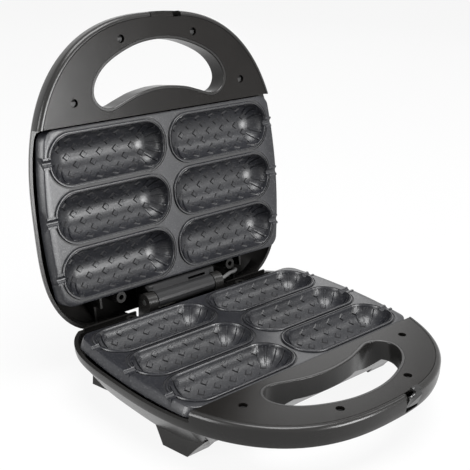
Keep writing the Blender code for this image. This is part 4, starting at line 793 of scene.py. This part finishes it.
def make_plate():
    """Plate with bowls, a bead with a moat and line round each whose cut faces carry painted shade, stick
    guides and relief with painted shade on the lozenges' sides.
    """
    plate = loft("plate", [flank_ring(*spec) for spec in (
        (1.0, EDGE_ROUND, FIELD_DROP),
        (1.0, EDGE_ROUND * EDGE_SHARE, FIELD_DROP + EDGE_ROUND * EDGE_SHARE),
        (FLANK_PART, 0.0, FIELD_DROP + EDGE_ROUND),
        (0.0, 0.0, PLATE_SKIRT - EDGE_ROUND),
        (0.0, 0.0, PLATE_SKIRT))])
    cut(plate, loft("under", [flank_ring(part, PLATE_WALL, level) for part, level in (
        (1.0, FIELD_DROP + PLATE_WALL), (0.0, PLATE_SKIRT), (0.0, PLATE_SKIRT + OVERRUN))]))
    for centre in TROUGHS:
        rings = []
        for degrees in BOWL_DEGREES:
            turn = math.radians(degrees)
            grow = PLATE_WALL - (TROUGH_HALF_WIDTH + PLATE_WALL) * (1.0 - math.cos(turn))
            level = max((TROUGH_DEPTH + PLATE_WALL) * math.sin(turn), FIELD_DROP * BOWL_TOP_SHARE)
            rings.append(ring_at(trough_outline(centre, grow, *BOWL_STEPS), level))
        add(plate, loft("bowl", rings))
    moat = ((MOAT_OUTER, FIELD_DROP - OVERRUN), (MOAT_OUTER, FIELD_DROP + MOAT_DEPTH))
    foot_width = BEAD_WIDTH + BEAD_SLOPE
    bead = ((BEAD_WIDTH - BEAD_ROUND, 0.0), (BEAD_WIDTH, BEAD_ROUND), (foot_width, FIELD_DROP),
            (foot_width, FIELD_DROP + BEAD_ROOT))
    line = ((LINE_OUTER, -OVERRUN), (LINE_OUTER, LINE_DEPTH))
    lip = ((LINE_INNER - BEAD_ROUND, 0.0), (LINE_INNER, BEAD_ROUND), (LINE_INNER, LINE_DEPTH + LINE_ROOT))
    for centre in TROUGHS:
        cut(plate, with_painted_shade(plate_band(centre, "moat", moat)))
        add(plate, plate_band(centre, "bead", bead))
        cut(plate, with_painted_shade(plate_band(centre, "line", line)))
        add(plate, plate_band(centre, "lip", lip))
    for x, front in TROUGHS:
        side = 1 if x > 0 else -1
        bow = (front - PLATE_CENTRE) ** 2 / (2.0 * PLATE_BOW_RADIUS)
        end = PLATE_HALF_WIDTH - bow + (GUIDE_REACH - FLANK_LEFT if side < 0 else -FLANK_RIGHT)
        left, right = sorted((x + side * TROUGH_HALF_LENGTH, side * end))
        half = STICK_RADIUS + STICK_WALL
        add(plate, box("guide", left, right, front - half, front + half, -half - GUIDE_ROOT,
                       GUIDE_RAISE - FIELD_DROP))
    for x, front in TROUGHS:
        cut(plate, trough_tool((x, front)))
        side = 1 if x > 0 else -1
        left, right = sorted((x + side * (TROUGH_HALF_LENGTH - STICK_RADIUS),
                              side * (PLATE_HALF_WIDTH + OVERRUN)))
        cut(plate, rod("groove", STICK_RADIUS, left, right, (front, FACE_GAP / 2), STICK_SIDES))
    join_objects(plate, [trough_relief(centre) for centre in TROUGHS])
    return plate


# Shells and covers

def rim_point(angle, inset, front, rear):
    """Point of the rounded outline at an angle, cut straight at the front and the rear."""
    across = math.cos(angle)
    along = math.sin(angle)
    half_width = RIM_HALF_WIDTH - inset
    if along >= 0:
        power = FRONT_POWER
        reach = RIM_FRONT_REACH - inset
        straight = front - RIM_CENTRE if front else 0.0
    else:
        power = REAR_POWER
        straight = RIM_CENTRE + rear
        reach = max(RIM_REAR_REACH - inset, straight * RIM_REAR_REACH / (RIM_CENTRE + RIM_REAR))
    inverse = (abs(across) / half_width) ** power + (abs(along) / reach) ** power
    inverse = inverse ** (1.0 / power)
    if straight:
        limit = abs(along) / straight
        inverse = (inverse ** CORNER_POWER + limit ** CORNER_POWER) ** (1.0 / CORNER_POWER)
    return across / inverse, RIM_CENTRE + along / inverse


def rim_ring(inset, level, front=None, rear=RIM_REAR):
    """Ring of the outline at a depth below the face; rear is the distance behind the hinge line."""
    ring = []
    for index in range(RAYS):
        across, along = rim_point(math.tau * index / RAYS, inset, front, rear)
        ring.append((across, -along, -level))
    return ring


def smooth_loop(controls, steps):
    """Closed curve through its control points."""
    count = len(controls)
    points = []
    for index in range(count):
        before = Vector(controls[index - 1])
        start = Vector(controls[index])
        end = Vector(controls[(index + 1) % count])
        after = Vector(controls[(index + 2) % count])
        for step in range(steps):
            t = step / steps
            value = 2 * start + (end - before) * t
            value += (2 * before - 5 * start + 4 * end - after) * t ** 2
            value += (3 * start - before - 3 * end + after) * t ** 3
            points.append(tuple(value / 2))
    return points


def hole_outline(grow):
    """Finger hole outline, grown outwards."""
    right = [(HOLE_HALF_WIDTH * across, HOLE_REAR + HOLE_DEPTH * along) for across, along in HOLE_SHARES]
    left = [(-x, y) for x, y in reversed(right[1:-1])]
    loop = smooth_loop(right + left, HOLE_STEPS)
    grown = []
    for index, (x, y) in enumerate(loop):
        along = (Vector(loop[(index + 1) % len(loop)]) - Vector(loop[index - 1])).normalized()
        grown.append((x - along.y * grow, y + along.x * grow))
    return grown


def rim_solid(name, *lines):
    """Solid through outlines of the rim, each of an inset and a level."""
    return loft(name, [rim_ring(inset, level) for inset, level in lines])


def band(edge_inset):
    """The rim slab with its rounded lip, from the face down to the handle's underside."""
    lines = [(BULLNOSE_INSET * inset, BULLNOSE * depth) for inset, depth in BULLNOSE_SHARES]
    middle = EDGE_START + (HANDLE_DEPTH - EDGE_START) * EDGE_MIDDLE_SHARE
    lines += [(0.0, EDGE_START), (edge_inset / 2, middle), (edge_inset, HANDLE_DEPTH)]
    return rim_solid("band", *lines)


def hull_ring(share, level, thickness, extra=0.0, front_limit=None):
    """Ring of the hull at a share of its taper, drawn in by a thickness and an extra."""
    front = HULL_FRONT - HULL_FRONT_TAPER * share - thickness - extra
    if front_limit:
        front = min(front, front_limit)
    rear = RIM_REAR - HULL_REAR_TAPER * share - thickness - extra
    inset = BASE_EDGE_INSET + HULL_SIDE_TAPER * share + thickness + extra
    return rim_ring(inset, level, front, rear)


def base_hull():
    rings = [hull_ring(0.0, HANDLE_DEPTH - OVERRUN / 2, 0.0)]
    level = HANDLE_DEPTH + (HULL_DEPTH - HANDLE_DEPTH) * HULL_ROUND_SHARE
    rings.append(hull_ring(HULL_ROUND_SHARE, level, 0.0))
    rings.append(hull_ring(1.0, HULL_DEPTH, 0.0, HULL_BOTTOM_ROUND))
    return loft("hull", rings)


def base_hollow():
    """Inside of the base, in front of which stands the handle's rear wall."""
    front = BLOCK_FRONT - FIT
    rear = RIM_REAR - SHELL_WALL
    rings = [rim_ring(SHELL_WALL, -OVERRUN, front, rear)]
    level = HANDLE_DEPTH - CHANNEL_FLOOR
    rings.append(rim_ring(SHELL_WALL + BASE_EDGE_INSET, level, front, rear))
    span = HULL_DEPTH - HANDLE_DEPTH
    limit = HOLE_REAR - HOLE_LIP
    rings.append(hull_ring(0.0, HANDLE_DEPTH + OVERRUN / 2, SHELL_WALL, 0.0, limit))
    share = (span - FLOOR_WALL) / span
    rings.append(hull_ring(share, HULL_DEPTH - FLOOR_WALL, SHELL_WALL, OVERRUN))
    return loft("base_hollow", rings)


def dome_ring(shares, wall_shares, thickness):
    """Inset, level, front and rear of the dome at a height, inside its surface by a thickness."""
    height, side, front, rear = shares
    in_share, up_share = wall_shares
    inset = DOME_SIDE_RUN * side + thickness * in_share
    level = DOME_HEIGHT * height - thickness * up_share
    front_edge = DOME_FRONT - DOME_FRONT_RUN * front - thickness * in_share
    rear_edge = RIM_REAR - DOME_REAR_RUN * rear - thickness * in_share
    return inset, level, front_edge, rear_edge


def lid_dome():
    start = dome_ring(DOME_SHARES[0], DOME_WALL_SHARES[0], 0.0)
    rings = [rim_ring(start[0], EDGE_START, start[2], start[3])]
    rings += [rim_ring(*dome_ring(*shares, 0.0)) for shares in zip(DOME_SHARES, DOME_WALL_SHARES)]
    return loft("dome", rings)


def lid_hollow():
    limit = BLOCK_FRONT - FIT
    rings = [rim_ring(SHELL_WALL, level, limit, RIM_REAR - SHELL_WALL) for level in (-OVERRUN, EDGE_START)]
    for index in HOLLOW_LEVELS:
        inset, level, front, rear = dome_ring(DOME_SHARES[index], DOME_WALL_SHARES[index], SHELL_WALL)
        rings.append(rim_ring(inset, level, min(front, limit), rear))
    return loft("lid_hollow", rings)


def keep_posts(hollow, floor, has_block):
    """Leave the posts and ribs standing in a shell's hollow, and the terminal block's seat."""
    deep = -floor - OVERRUN
    top = -SIDE_RIM_DROP - FIT
    for place in CORNER_POSTS:
        cut(hollow, cylinder("post", POST_RADIUS, place, deep, top))
    for place in REFLECTOR_POSTS:
        cut(hollow, cylinder("post", POST_RADIUS, place, deep, -REFLECTOR_LOW - FIT))
    low_top = -REAR_RELIEF_DEPTH - REAR_RIB_THICKNESS
    outline = [(-REAR_RIB_FRONT, deep), (-REAR_RIB_FRONT, top), (-REAR_RIB_REAR, top),
               (-REAR_RIB_REAR, low_top), (FAR_REAR, low_top), (FAR_REAR, deep)]
    for side, place in zip(SIDES, RING_POSTS):
        cut(hollow, cylinder("post", RING_POST_RADIUS + FIT, place, deep, top, MIDDLE_SIDES))
        left = side * REAR_RIB_X - REAR_RIB_THICKNESS / 2
        cut(hollow, side_plate("rib", outline, left, left + REAR_RIB_THICKNESS))
    if has_block:
        for left, right in ((-WIDE, -CROSS_RIB_LEFT), (LUG_OUTER - LUG_STEP, WIDE)):
            rib = box("rib", left, right, -CROSS_RIB_REAR, -CROSS_RIB_FRONT, deep, top)
            cut(rib, box("cord_way", GLAND_X - CORD_WAY_HALF, GLAND_X + CORD_WAY_HALF,
                         -CROSS_RIB_REAR - OVERRUN, OVERRUN, -floor + FLOOR_WALL, -CORD_WAY_TOP))
            cut(hollow, rib)
        half = BLOCK_SEAT_WIDTH / 2
        seat_top = -floor + FLOOR_WALL + BLOCK_SEAT_HEIGHT
        cut(hollow, box("seat", -BLOCK_X - half, -BLOCK_X + half, -half / 2, half / 2, deep, seat_top))


def cut_handle(shell):
    """Channel, cover seat, screw posts and finger hole of a handle."""
    high = 2 * OVERRUN
    low = -HANDLE_DEPTH - OVERRUN
    channel = rim_solid("channel", (CHANNEL_WALL, -OVERRUN), (CHANNEL_WALL, HANDLE_DEPTH - CHANNEL_FLOOR))
    cut(channel, box("rear", -WIDE, WIDE, -FAR_REAR, BLOCK_FRONT + CHANNEL_REAR_WALL, low, high))
    cut(channel, flat("island", hole_outline(HOLE_LIP + HOLE_LEDGE), low, high))
    for place in COVER_SCREW_PLACES:
        cut(channel, cylinder("post", SCREW_CUP, place, low, high))
    cut(shell, channel)
    seat_low = -COVER_THICKNESS - FIT
    seat = rim_solid("seat", (LIP_WIDTH, -OVERRUN), (LIP_WIDTH, -seat_low))
    cut(seat, box("rear", -WIDE, WIDE, -FAR_REAR, BLOCK_FRONT - OVERRUN, seat_low - OVERRUN, high))
    cut(seat, flat("island", hole_outline(HOLE_LIP), seat_low - OVERRUN, high))
    cut(shell, seat)
    cup_low = -SCREW_RECESS - CUP_WALL - FIT
    bore_low = -SCREW_RECESS - SCREW_LENGTH - FIT
    for place in COVER_SCREW_PLACES:
        cut(shell, cylinder("cup", SCREW_CUP + FIT, place, cup_low, seat_low + OVERRUN))
        cut(shell, cylinder("bore", SCREW_BORE, place, bore_low, 0.0, SMALL_SIDES))
    cut(shell, flat("hole", hole_outline(0.0), -HULL_DEPTH, OVERRUN))
    cut(shell, loft("soft_edge", [ring_at(hole_outline(grow), level) for grow, level in HOLE_EDGE]))


def ring_posts(shell):
    """Open screw rings at the rear and the bores of the corner posts."""
    for place in RING_POSTS:
        low = -SIDE_RIM_DROP - RING_POST_RADIUS
        add(shell, cylinder("ring", RING_POST_RADIUS, place, low, -RING_POST_TOP, MIDDLE_SIDES))
        cut(shell, cylinder("bore", RING_POST_BORE, place, -RING_POST_TOP - RING_POST_BORE_DEPTH, OVERRUN))
    for place in CORNER_POSTS:
        low = -SIDE_RIM_DROP - PEG_LENGTH - OVERRUN
        cut(shell, cylinder("bore", PEG_RADIUS + FIT, place, low, 0.0, SMALL_SIDES))


def cut_side_rims(shell):
    """Lower the rim beside and behind the plate."""
    cut(shell, box("rims", -WIDE, WIDE, -FAR_REAR, BLOCK_FRONT, -SIDE_RIM_DROP, OVERRUN))


def foot(side, out, front, width, depth, rear_spread, front_spread):
    """Tapered foot, flush with the hull's side; spreads are how far its top runs out."""
    rings = []
    skew = width * FOOT_SKEW_SHARE
    levels = (FOOT_TOP, HULL_DEPTH, FACE_HEIGHT - FOOT_CLEAR)
    for level, share in zip(levels, FOOT_DRAWN_SHARES):
        drawn = HULL_BOTTOM_ROUND * share
        rear_line = front - depth - rear_spread * share
        front_line = front + front_spread * share
        outer_front = (side * (out - drawn - skew), front_line)
        outer_rear = (side * (out - drawn), rear_line)
        inner_rear = (side * (out - drawn - width), rear_line)
        inner_front = (side * (out - drawn - width - skew), front_line)
        rings.append(ring_at((outer_front, outer_rear, inner_rear, inner_front), level))
    return loft("foot", rings)


def add_feet(shell):
    """Feet, each with a recess for its pad."""
    for side, sizes, spreads in FEET:
        add(shell, foot(side, *sizes, *spreads))
    for side, (out, front, width, depth), _ in FEET:
        place = (side * (out - width * PAD_PLACE_SHARE), front - depth / 2)
        top = -FACE_HEIGHT + PAD_THICKNESS + FIT
        cut(shell, cylinder("recess", PAD_RADIUS + FIT, place, -FACE_HEIGHT, top, MIDDLE_SIDES))


def add_hinge_lugs(shell):
    """Two lugs that hold the hinge pin."""
    axis = FACE_GAP / 2
    root = -HULL_DEPTH + FLOOR_WALL / 2
    outline = [(-BARREL_RADIUS, root)]
    for step in range(LUG_STEPS + 1):
        angle = math.pi * step / LUG_STEPS
        outline.append((-BARREL_RADIUS * math.cos(angle), axis + BARREL_RADIUS * math.sin(angle)))
    outline.append((BARREL_RADIUS, root))
    for side in SIDES:
        left, right = sorted((side * LUG_INNER, side * LUG_OUTER))
        add(shell, side_plate("lug", outline, left, right))
        cut(shell, rod("bore", PIN_RADIUS + FIT, left - OVERRUN / 2, right + OVERRUN / 2, (0.0, axis)))


def latch_box(name, margin, rear, low, high):
    """Box round the clip that runs out past the front edge."""
    half = LATCH_WIDTH / 2 + margin
    return box(name, LATCH_X - half, LATCH_X + half, rear, RIM_FRONT + OVERRUN, low, high)


def add_rear_ribs(shell):
    """Upper edge of the cross rib beside the hinge, and the sill under the hinge barrel."""
    rear = -CROSS_RIB_REAR + CROSS_RIB_STEP
    front = -CROSS_RIB_FRONT - CROSS_RIB_STEP
    low = -SIDE_RIM_DROP - OVERRUN
    left_end = -CROSS_RIB_LEFT - CROSS_RIB_STEP
    for left, right in ((-CROSS_RIB_OUTER, left_end), (LUG_OUTER - LUG_STEP, CROSS_RIB_OUTER)):
        add(shell, box("rib", left, right, rear, front, low, -CROSS_RIB_TOP))
    half = LUG_INNER + LUG_STEP
    add(shell, box("sill", -half, half, -SILL_REAR, SILL_FRONT, -SILL_LOW, -SILL_TOP))


def make_base_shell():
    shell = band(BASE_EDGE_INSET)
    add(shell, base_hull())
    hollow = base_hollow()
    keep_posts(hollow, HULL_DEPTH, True)
    cut(shell, hollow)
    cut_side_rims(shell)
    cut(shell, box("relief", -WIDE, WIDE, -FAR_REAR, -REAR_RELIEF_START, -REAR_RELIEF_DEPTH, OVERRUN))
    cut_handle(shell)
    housing = latch_box("housing", LATCH_GAP + LATCH_SIDE_WALL, LATCH_RECESS_FRONT - LATCH_BACK_WALL,
                        -HANDLE_DEPTH + CHANNEL_FLOOR / 2, -COVER_THICKNESS - FIT)
    inset = CHANNEL_WALL / 2
    combine(housing, rim_solid("trim", (inset, -OVERRUN), (inset, HANDLE_DEPTH)), "INTERSECT")
    add(shell, housing)
    cut(shell, latch_box("recess", LATCH_GAP, LATCH_RECESS_FRONT, -LATCH_RECESS_DEPTH, OVERRUN))
    half = LATCH_WIDTH / 2 + LATCH_GAP + LATCH_SIDE_WALL
    cut(shell, rod("pin_bore", LATCH_PIN_RADIUS + FIT, LATCH_X - half + FIT, LATCH_X + half - FIT,
                   (LATCH_PIN_FRONT, -LATCH_PIN_LEVEL), SMALL_SIDES))
    ring_posts(shell)
    add_hinge_lugs(shell)
    add_rear_ribs(shell)
    add_feet(shell)
    centre = (GLAND_X, -GLAND_LEVEL)
    add(shell, barrel("pad", GLAND_PAD_RADIUS, -RIM_REAR, -GLAND_PAD_INNER, centre))
    cut(shell, barrel("hole", GLAND_RADIUS + FIT, -FAR_REAR, -GLAND_PAD_INNER + OVERRUN, centre))
    finish(shell, "base_shell", HOUSING, False)


def make_lid_shell():
    shell = band(LID_EDGE_INSET)
    add(shell, lid_dome())
    hollow = lid_hollow()
    keep_posts(hollow, DOME_HEIGHT, False)
    post_top = -(ARM_HEIGHT + ARM_FLANGE_THICKNESS + FIT - FACE_GAP / 2)
    for place in ARM_SCREWS:
        cut(hollow, cylinder("post", ARM_POST_RADIUS, place, -DOME_HEIGHT - OVERRUN, post_top))
    cut(shell, hollow)
    cut_side_rims(shell)
    cut(shell, box("window", -REAR_WINDOW_HALF, REAR_WINDOW_HALF, -FAR_REAR, 0.0,
                   -REAR_WINDOW_DEPTH, OVERRUN))
    cut_handle(shell)
    cut(shell, box("notch", -LID_NOTCH_LEFT, LID_NOTCH_RIGHT, LATCH_RECESS_FRONT - OVERRUN,
                   RIM_FRONT + OVERRUN, -SIDE_RIM_DROP, OVERRUN))
    ring_posts(shell)
    for side, place in zip(SIDES, ARM_SCREWS):
        low = post_top - SCREW_LENGTH - FIT
        cut(shell, cylinder("bore", SCREW_BORE, place, low, -ARM_HEIGHT + OVERRUN, SMALL_SIDES))
        lens = (side * LENS_X, LENS_FRONT)
        cut(shell, cylinder("lens_hole", LENS_RADIUS + FIT, lens, -DOME_HEIGHT, -LENS_FLANGE_LEVEL + OVERRUN))
    finish(shell, "lid_shell", HOUSING, True)


def make_cover(name, in_lid):
    """Flat plate that closes a handle's channel round the finger hole; the lid's has the tongue."""
    edge = LIP_WIDTH + FIT
    cover = rim_solid("cover", (edge + COVER_CHAMFER, 0.0),
                      (edge + COVER_CHAMFER * CHAMFER_SHARE, COVER_CHAMFER * CHAMFER_SHARE),
                      (edge, COVER_CHAMFER), (edge, COVER_THICKNESS))
    low = -COVER_THICKNESS - OVERRUN
    cut(cover, box("rear", -WIDE, WIDE, -FAR_REAR, BLOCK_FRONT + FIT, low, OVERRUN))
    if in_lid:
        tongue = box("tongue", -LID_TONGUE_LEFT, LID_TONGUE_RIGHT, LID_CATCH_FRONT, LID_TONGUE_FRONT,
                     -LID_TONGUE_DEPTH, -COVER_CHAMFER)
        combine(tongue, rim_solid("trim", (OVERRUN, -OVERRUN), (OVERRUN, HANDLE_DEPTH)), "INTERSECT")
        add(cover, tongue)
        cut(cover, box("catch", LID_TONGUE_RIGHT, LID_NOTCH_RIGHT, LID_CATCH_FRONT,
                       LID_TONGUE_FRONT + OVERRUN, low, OVERRUN))
    cut(cover, flat("hole", hole_outline(HOLE_LIP + FIT), low, OVERRUN))
    for place in COVER_SCREW_PLACES:
        add(cover, cylinder("cup", SCREW_CUP, place, -SCREW_RECESS - CUP_WALL, -COVER_THICKNESS / 2))
        cut(cover, cylinder("recess", SCREW_HEAD_RADIUS + FIT, place, -SCREW_RECESS, OVERRUN))
        cup_low = -SCREW_RECESS - CUP_WALL - OVERRUN
        cut(cover, cylinder("bore", SCREW_BORE, place, cup_low, 0.0, SMALL_SIDES))
    finish(cover, name, COVER_LOOK, in_lid)


make_base_shell()
make_lid_shell()
make_cover("base_handle_cover", False)
make_cover("lid_handle_cover", True)
base_plate = make_plate()
lid_plate = link_object("lid_plate_look", base_plate.data.copy())
for plate, body_name, place in ((base_plate, "base", TO_BASE), (lid_plate, "lid", TO_LID)):
    node = body_name + "_plate"
    put(plate, node + "_look", body_name, COATING, "nonstick_coating", place, node, angle=PLATE_SHARP_DEGREES)
    # The second slot holds the painted shade of the grooves and the lozenges' sides
    plate.data.materials.append(PAINTED_SHADE_COATING)

BUILT = ("base_plate", "lid_plate", "base_shell", "lid_shell", "base_handle_cover", "lid_handle_cover")
for node in sorted(NODES):
    if node not in BUILT:
        skin(node, SLOT_LOOKS[SLOTS[node]], SLOTS[node])


# Floor, light and camera

WHITE = (1.0, 1.0, 1.0, 1.0)
FLOOR_GREY = (0.50, 0.50, 0.50, 1.0)
FLOOR_ROUGHNESS = 0.9
FLOOR_GLOW = 0.90
FLOOR_SIZE = 6.0
WORLD_LIGHT = 0.16


def seen_white(tree):
    """1 for the rays that see the backdrop itself, straight, in a mirror or through a pane."""
    rays = tree.nodes.new("ShaderNodeLightPath")
    found = rays.outputs["Is Camera Ray"]
    for name in ("Is Glossy Ray", "Is Transmission Ray"):
        most = tree.nodes.new("ShaderNodeMath")
        most.operation = "MAXIMUM"
        link(tree, found, most.inputs[0])
        link(tree, rays.outputs[name], most.inputs[1])
        found = most.outputs[0]
    return found


def stage_material():
    """Pale floor that shows white where the backdrop is seen and is lit grey elsewhere."""
    made = bpy.data.materials.new("pale_floor")
    made.use_nodes = True
    tree = made.node_tree
    shader = tree.nodes["Principled BSDF"]
    shader.inputs["Base Color"].default_value = FLOOR_GREY
    shader.inputs["Roughness"].default_value = FLOOR_ROUGHNESS
    glow = tree.nodes.new("ShaderNodeEmission")
    glow.inputs["Color"].default_value = WHITE
    glow.inputs["Strength"].default_value = 1.0
    part = tree.nodes.new("ShaderNodeMath")
    part.operation = "MULTIPLY"
    part.inputs[1].default_value = FLOOR_GLOW
    link(tree, seen_white(tree), part.inputs[0])
    mix = tree.nodes.new("ShaderNodeMixShader")
    for source, socket in zip((part, shader, glow), mix.inputs):
        link(tree, source.outputs[0], socket)
    link(tree, mix.outputs[0], tree.nodes["Material Output"].inputs["Surface"])
    return made


body = bmesh.new()
bmesh.ops.create_grid(body, x_segments=1, y_segments=1, size=FLOOR_SIZE)
floor = new_object("floor", body)
floor.data.materials.append(stage_material())

world = bpy.data.worlds.new("soft_light")
bpy.context.scene.world = world
world.use_nodes = True
tree = world.node_tree
back = tree.nodes["Background"]
back.inputs["Color"].default_value = WHITE
strength = tree.nodes.new("ShaderNodeMapRange")
strength.inputs["To Min"].default_value = WORLD_LIGHT
strength.inputs["To Max"].default_value = 1.0
link(tree, seen_white(tree), strength.inputs["Value"])
link(tree, strength.outputs["Result"], back.inputs["Strength"])


def lamp(name, place, aim, size_x, size_y, power):
    """Area lamp, its sizes in metres and its power in watts."""
    light = bpy.data.lights.new(name, "AREA")
    light.shape = "RECTANGLE"
    light.size = size_x
    light.size_y = size_y
    light.energy = power
    made = link_object(name, light)
    made.location = place
    made.rotation_euler = (Vector(aim) - Vector(place)).to_track_quat("-Z", "Y").to_euler()


lamp("front_box", (0.46, -1.6, 0.30), (0.0, 0.0, 0.12), 0.78, 0.60, 42.0)
lamp("top_box", (0.0, -0.25, 1.7), (0.0, 0.0, 0.1), 1.1, 1.0, 50.0)
lamp("left_box", (-1.6, 0.15, 0.50), (0.0, 0.0, 0.1), 0.6, 1.0, 28.0)
lamp("key_box", (1.15, -0.65, 1.35), (0.0, 0.0, 0.1), 0.5, 0.5, 4.5)
lamp("back_box", (1.25, 1.25, 0.85), (0.0, 0.0, 0.1), 0.8, 0.8, 3.5)

camera_data = bpy.data.cameras.new("camera")
camera_data.sensor_width = 36.0
camera_data.lens = 72.15
camera_data.clip_start = 0.01
camera = link_object("camera", camera_data)
# The camera's own axes, in the object's frame
right = Vector((0.74485, -0.66647, 0.03217))
down = Vector((-0.21462, -0.28495, -0.93421))
forward = Vector((0.63178, 0.68893, -0.35528))
turn = Matrix((right, -down, -forward)).transposed().to_4x4()
camera.matrix_world = Matrix.Translation((-0.47218, -0.49227, 0.38757)) @ turn
bpy.context.scene.camera = camera
bpy.context.scene.view_settings.view_transform = "Standard"
